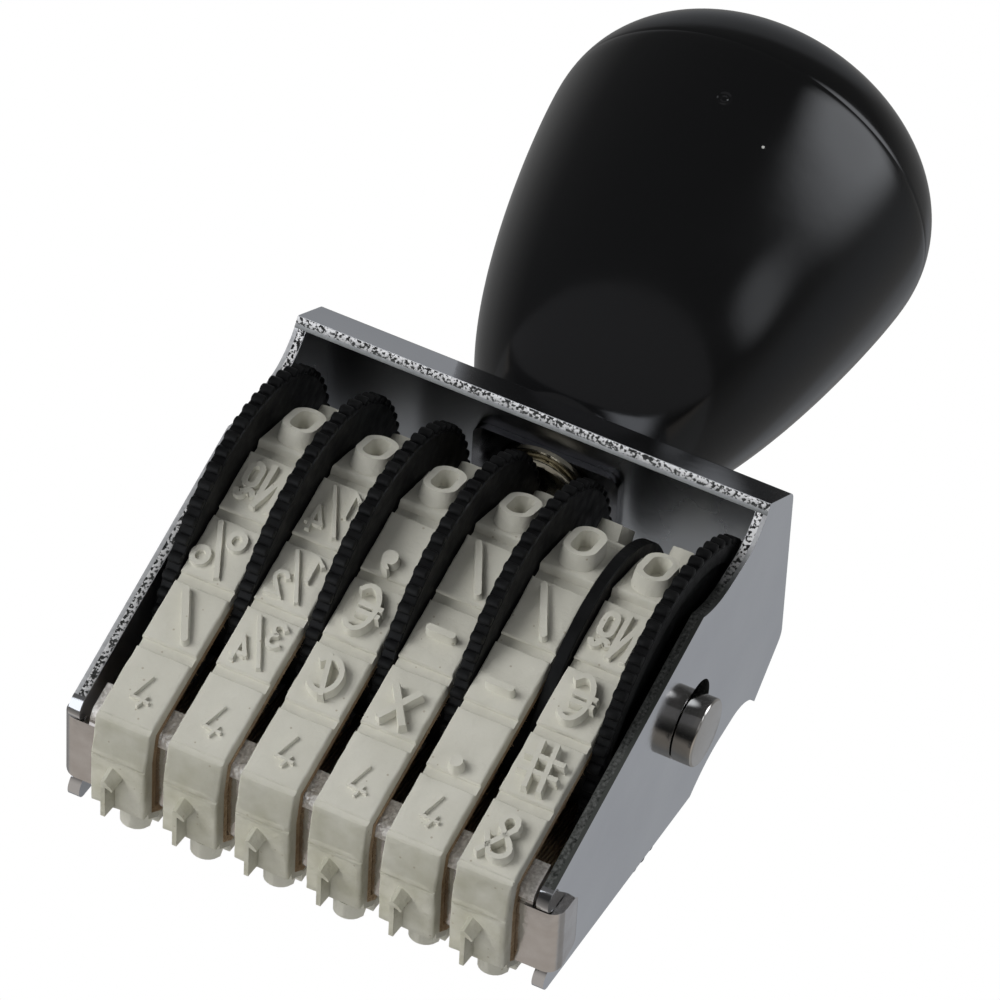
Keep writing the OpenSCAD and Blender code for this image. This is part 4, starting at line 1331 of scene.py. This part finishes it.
for k, middle in enumerate(band_middles):
    strip = push(band_loop(RUBBER), middle - BAND_W / 2, middle + BAND_W / 2, [band_loop(RUBBER + LINER)])
    liner = make_piece(f"woven_tape_{k + 1}", *strip, tape)
    liner = fray.bake(liner, Density=THREADS, Length=THREAD_L * MM, Finish=tape.mat)
    settle(liner, "stamp", "liner_tape", f"band_liner_{k + 1}")

# %% [markdown]
# ## The nose bar
# The nose bar is a strip of thinner sheet: a shallow channel that spreads the bands, and at each end a
# tongue that passes between the prongs of a cheek and folds up outside it. The channel and the tongues are
# bent strips, so the same helper makes them, with bends as round as the real ones. The front bend has its
# own finish, whose bright grains are a painted sparkle of light on the bend.

# %% Nose bar
NOSE_T, NOSE_DROP, NOSE_WALL = 0.85, 26.5, 2.2
BAR_REACH, TONGUE_X = 20.8, 19.5
EAR_X, EAR_TOP, EAR_HALF, EAR_TOP_HALF, EAR_ROUND = 22.55, -22.9, 3.95, 3.25, 0.7

BAR_OFF = RUBBER + LINER + SEAT
slant = math.radians(BEVEL)
front_drop = (BEVEL_D - BAR_OFF - NOSE_BEND - BEND_F * math.sin(slant)) / math.cos(slant)


def bar_side(y, drop, bevel, lean, r):
    """One bend and wall of the channel: the bend turns from the bottom up to the lean of the run."""
    pts = [Vector((y, -drop)) + r * ray(bevel - 90 + (90 - bevel - lean) * i / 10) for i in range(11)]
    return pts + [pts[-1] + NOSE_WALL * ray(90 - lean)]


def bar_line(r):
    front = [mirror_y(p) for p in reversed(bar_side(BEND_F, front_drop, BEVEL, LEAN_F, r))]
    return front + [front_flat(BAR_OFF + NOSE_BEND - r)] + bar_side(BEND_B, BEND_DROP, 0, LEAN_B, r)


channel = push(bar_line(NOSE_BEND) + bar_line(NOSE_BEND - NOSE_T)[::-1], -BAR_REACH, BAR_REACH)


def ear(side):
    """The tongue and its folded ear, as a strip in the (x, z) plane with a tapering width."""
    path = [(EAR_X + NOSE_T, EAR_TOP - EAR_ROUND * (1 - math.cos(math.radians(15 * i)))) for i in range(7)]
    section = bent_strip(path + [(EAR_X + NOSE_T, -NOSE_DROP), (TONGUE_X, -NOSE_DROP)], NOSE_T, 1.3, 6)
    verts = []
    for front in (-1, 1):
        for x, z in section:
            t = min(max((z + NOSE_DROP) / (EAR_TOP + NOSE_DROP), 0), 1)
            rise = min(max(z - EAR_TOP + EAR_ROUND, 0), EAR_ROUND)
            wide = EAR_HALF + (EAR_TOP_HALF - EAR_HALF) * t - EAR_ROUND + math.sqrt(EAR_ROUND**2 - rise**2)
            verts.append((side * x, front * wide, AXLE_Z + z))
    n = len(section)
    faces = [list(range(n)), list(range(2 * n - 1, n - 1, -1))]
    faces += [(i, (i + 1) % n, n + (i + 1) % n, n + i) for i in range(n)]
    return verts, faces


nose = union_of("nose_channel", [channel, ear(1), ear(-1)], nose_plate)
nose = bevelled(nose, 0.12)
nose.data.materials.append(nose_bend.mat)
# Faces turned down and to the front along the channel take the painted sparkle.
for p in nose.data.polygons:
    faces_down = p.normal.y < -0.25 and p.normal.z < -0.15
    p.material_index = int(faces_down and p.center.y < 0 and abs(p.center.x) < BAR_REACH * MM)
settle(nose, "stamp", "nose_nickel", "nose_bar")

# %% [markdown]
# ## The axle and the fastening
# The axle is a turned pin with a neck at each cheek, bright at its ends; its sides are a darker copy of the
# same nickel, a painted shade. Under the web sit a plate, a washer and a slotted screw. All but the plate
# are turned shapes, so profiles make them; the slot is cut with a Boolean. The insert is hidden in the
# knob, so its solid is only given a finish.

# %% Axle
AXLE_R, AXLE_HALF, AXLE_ROUND = 3.15, 24.45, 0.15
NECK_R, NECK_OUT, NECK_IN = 2.55, 22.58, 21.25
half = [(0.0, AXLE_HALF), (AXLE_R - AXLE_ROUND, AXLE_HALF), (AXLE_R, AXLE_HALF - AXLE_ROUND)]
half += [(AXLE_R, NECK_OUT), (NECK_R, NECK_OUT), (NECK_R, NECK_IN), (AXLE_R, NECK_IN)]
axle_profile = half + [(r, -x) for r, x in reversed(half)]
verts, faces = lathe(axle_profile, 96, along="X")
axle = bevelled(make_piece("turned_axle", verts, faces, turned), 0.05)
axle.data.materials.append(axle_sides_shaded.mat)
# Faces along the axle's sides take the darker nickel, a painted shade.
for p in axle.data.polygons:
    p.material_index = int(abs(p.normal.x) < 0.5)
settle(axle, "stamp", "axle_nickel", "axle")

# %% Screw, washer and plate
HEAD_Z, HEAD_T, WASHER_T, PLATE_T = AXLE_Z + 16.75, 1.0, 0.6, 0.7
WASHER_Z = HEAD_Z + HEAD_T
PLATE_Z = WASHER_Z + WASHER_T
SHANK_R, SHANK_END, SHANK_TIP, HEAD_R = 1.95, 12.4, 0.3, 4.0
SLOT_HALF, SLOT_DEPTH, SLOT_REACH = 0.55, 0.5, 5
HOLE_R, WASHER_R = 2.2, 4.7
PLATE_X, PLATE_Y, PLATE_ROUND = 5.8, 2.9, 1.2

screw_profile = [(0, 0), (3.2, 0), (3.75, 0.2), (HEAD_R, 0.6), (HEAD_R, HEAD_T), (SHANK_R, HEAD_T)]
screw_profile += [(SHANK_R, SHANK_END - SHANK_TIP), (SHANK_R - SHANK_TIP, SHANK_END), (0, SHANK_END)]
verts, faces = lathe(screw_profile, 64, base=HEAD_Z)
screw = make_piece("slotted_screw", verts, faces, zinc)
corners = [(x, y, z) for x in (-1, 1) for y in (-1, 1) for z in (-1, 1)]
slot_verts = [(x * SLOT_REACH, y * SLOT_HALF, HEAD_Z + z * SLOT_DEPTH) for x, y, z in corners]
slot_faces = [(0, 1, 3, 2), (4, 6, 7, 5), (0, 4, 5, 1), (2, 3, 7, 6), (0, 2, 6, 4), (1, 5, 7, 3)]
cutter = make_piece("slot_cutter", slot_verts, slot_faces, zinc)
cut = screw.modifiers.new("slot", "BOOLEAN")
cut.operation = "DIFFERENCE"
cut.object = cutter
screw = bevelled(screw, 0.06)
bpy.data.objects.remove(cutter)
settle(screw, "stamp", "fastener_steel", "handle_screw")

ring_profile = [(HOLE_R, 0), (WASHER_R, 0), (WASHER_R, WASHER_T), (HOLE_R, WASHER_T)]
verts, faces = lathe(soften(ring_profile, 0.1), 64, closed=True, base=WASHER_Z)
washer = make_piece("plain_washer", verts, faces, zinc)
settle(washer, "stamp", "fastener_steel", "screw_washer")

plate_pts = []
for q, (sx, sy) in enumerate(((1, 1), (-1, 1), (-1, -1), (1, -1))):
    corner = Vector((sx * PLATE_X, sy * PLATE_Y))
    plate_pts += [corner + PLATE_ROUND * ray(90 * q + 15 * i) for i in range(7)]
flat_verts, flat_faces = push(plate_pts, 0, PLATE_T, [round_hole(HOLE_R)])
stood = [(y, z - AXLE_Z, PLATE_Z + x) for x, y, z in flat_verts]
backing = bevelled(make_piece("backing_sheet", stood, flat_faces, dim), 0.03)
settle(backing, "stamp", "fastener_steel", "backing_plate")

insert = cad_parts["handle_insert"]
insert.data.materials.clear()
insert.data.materials.append(brass.mat)
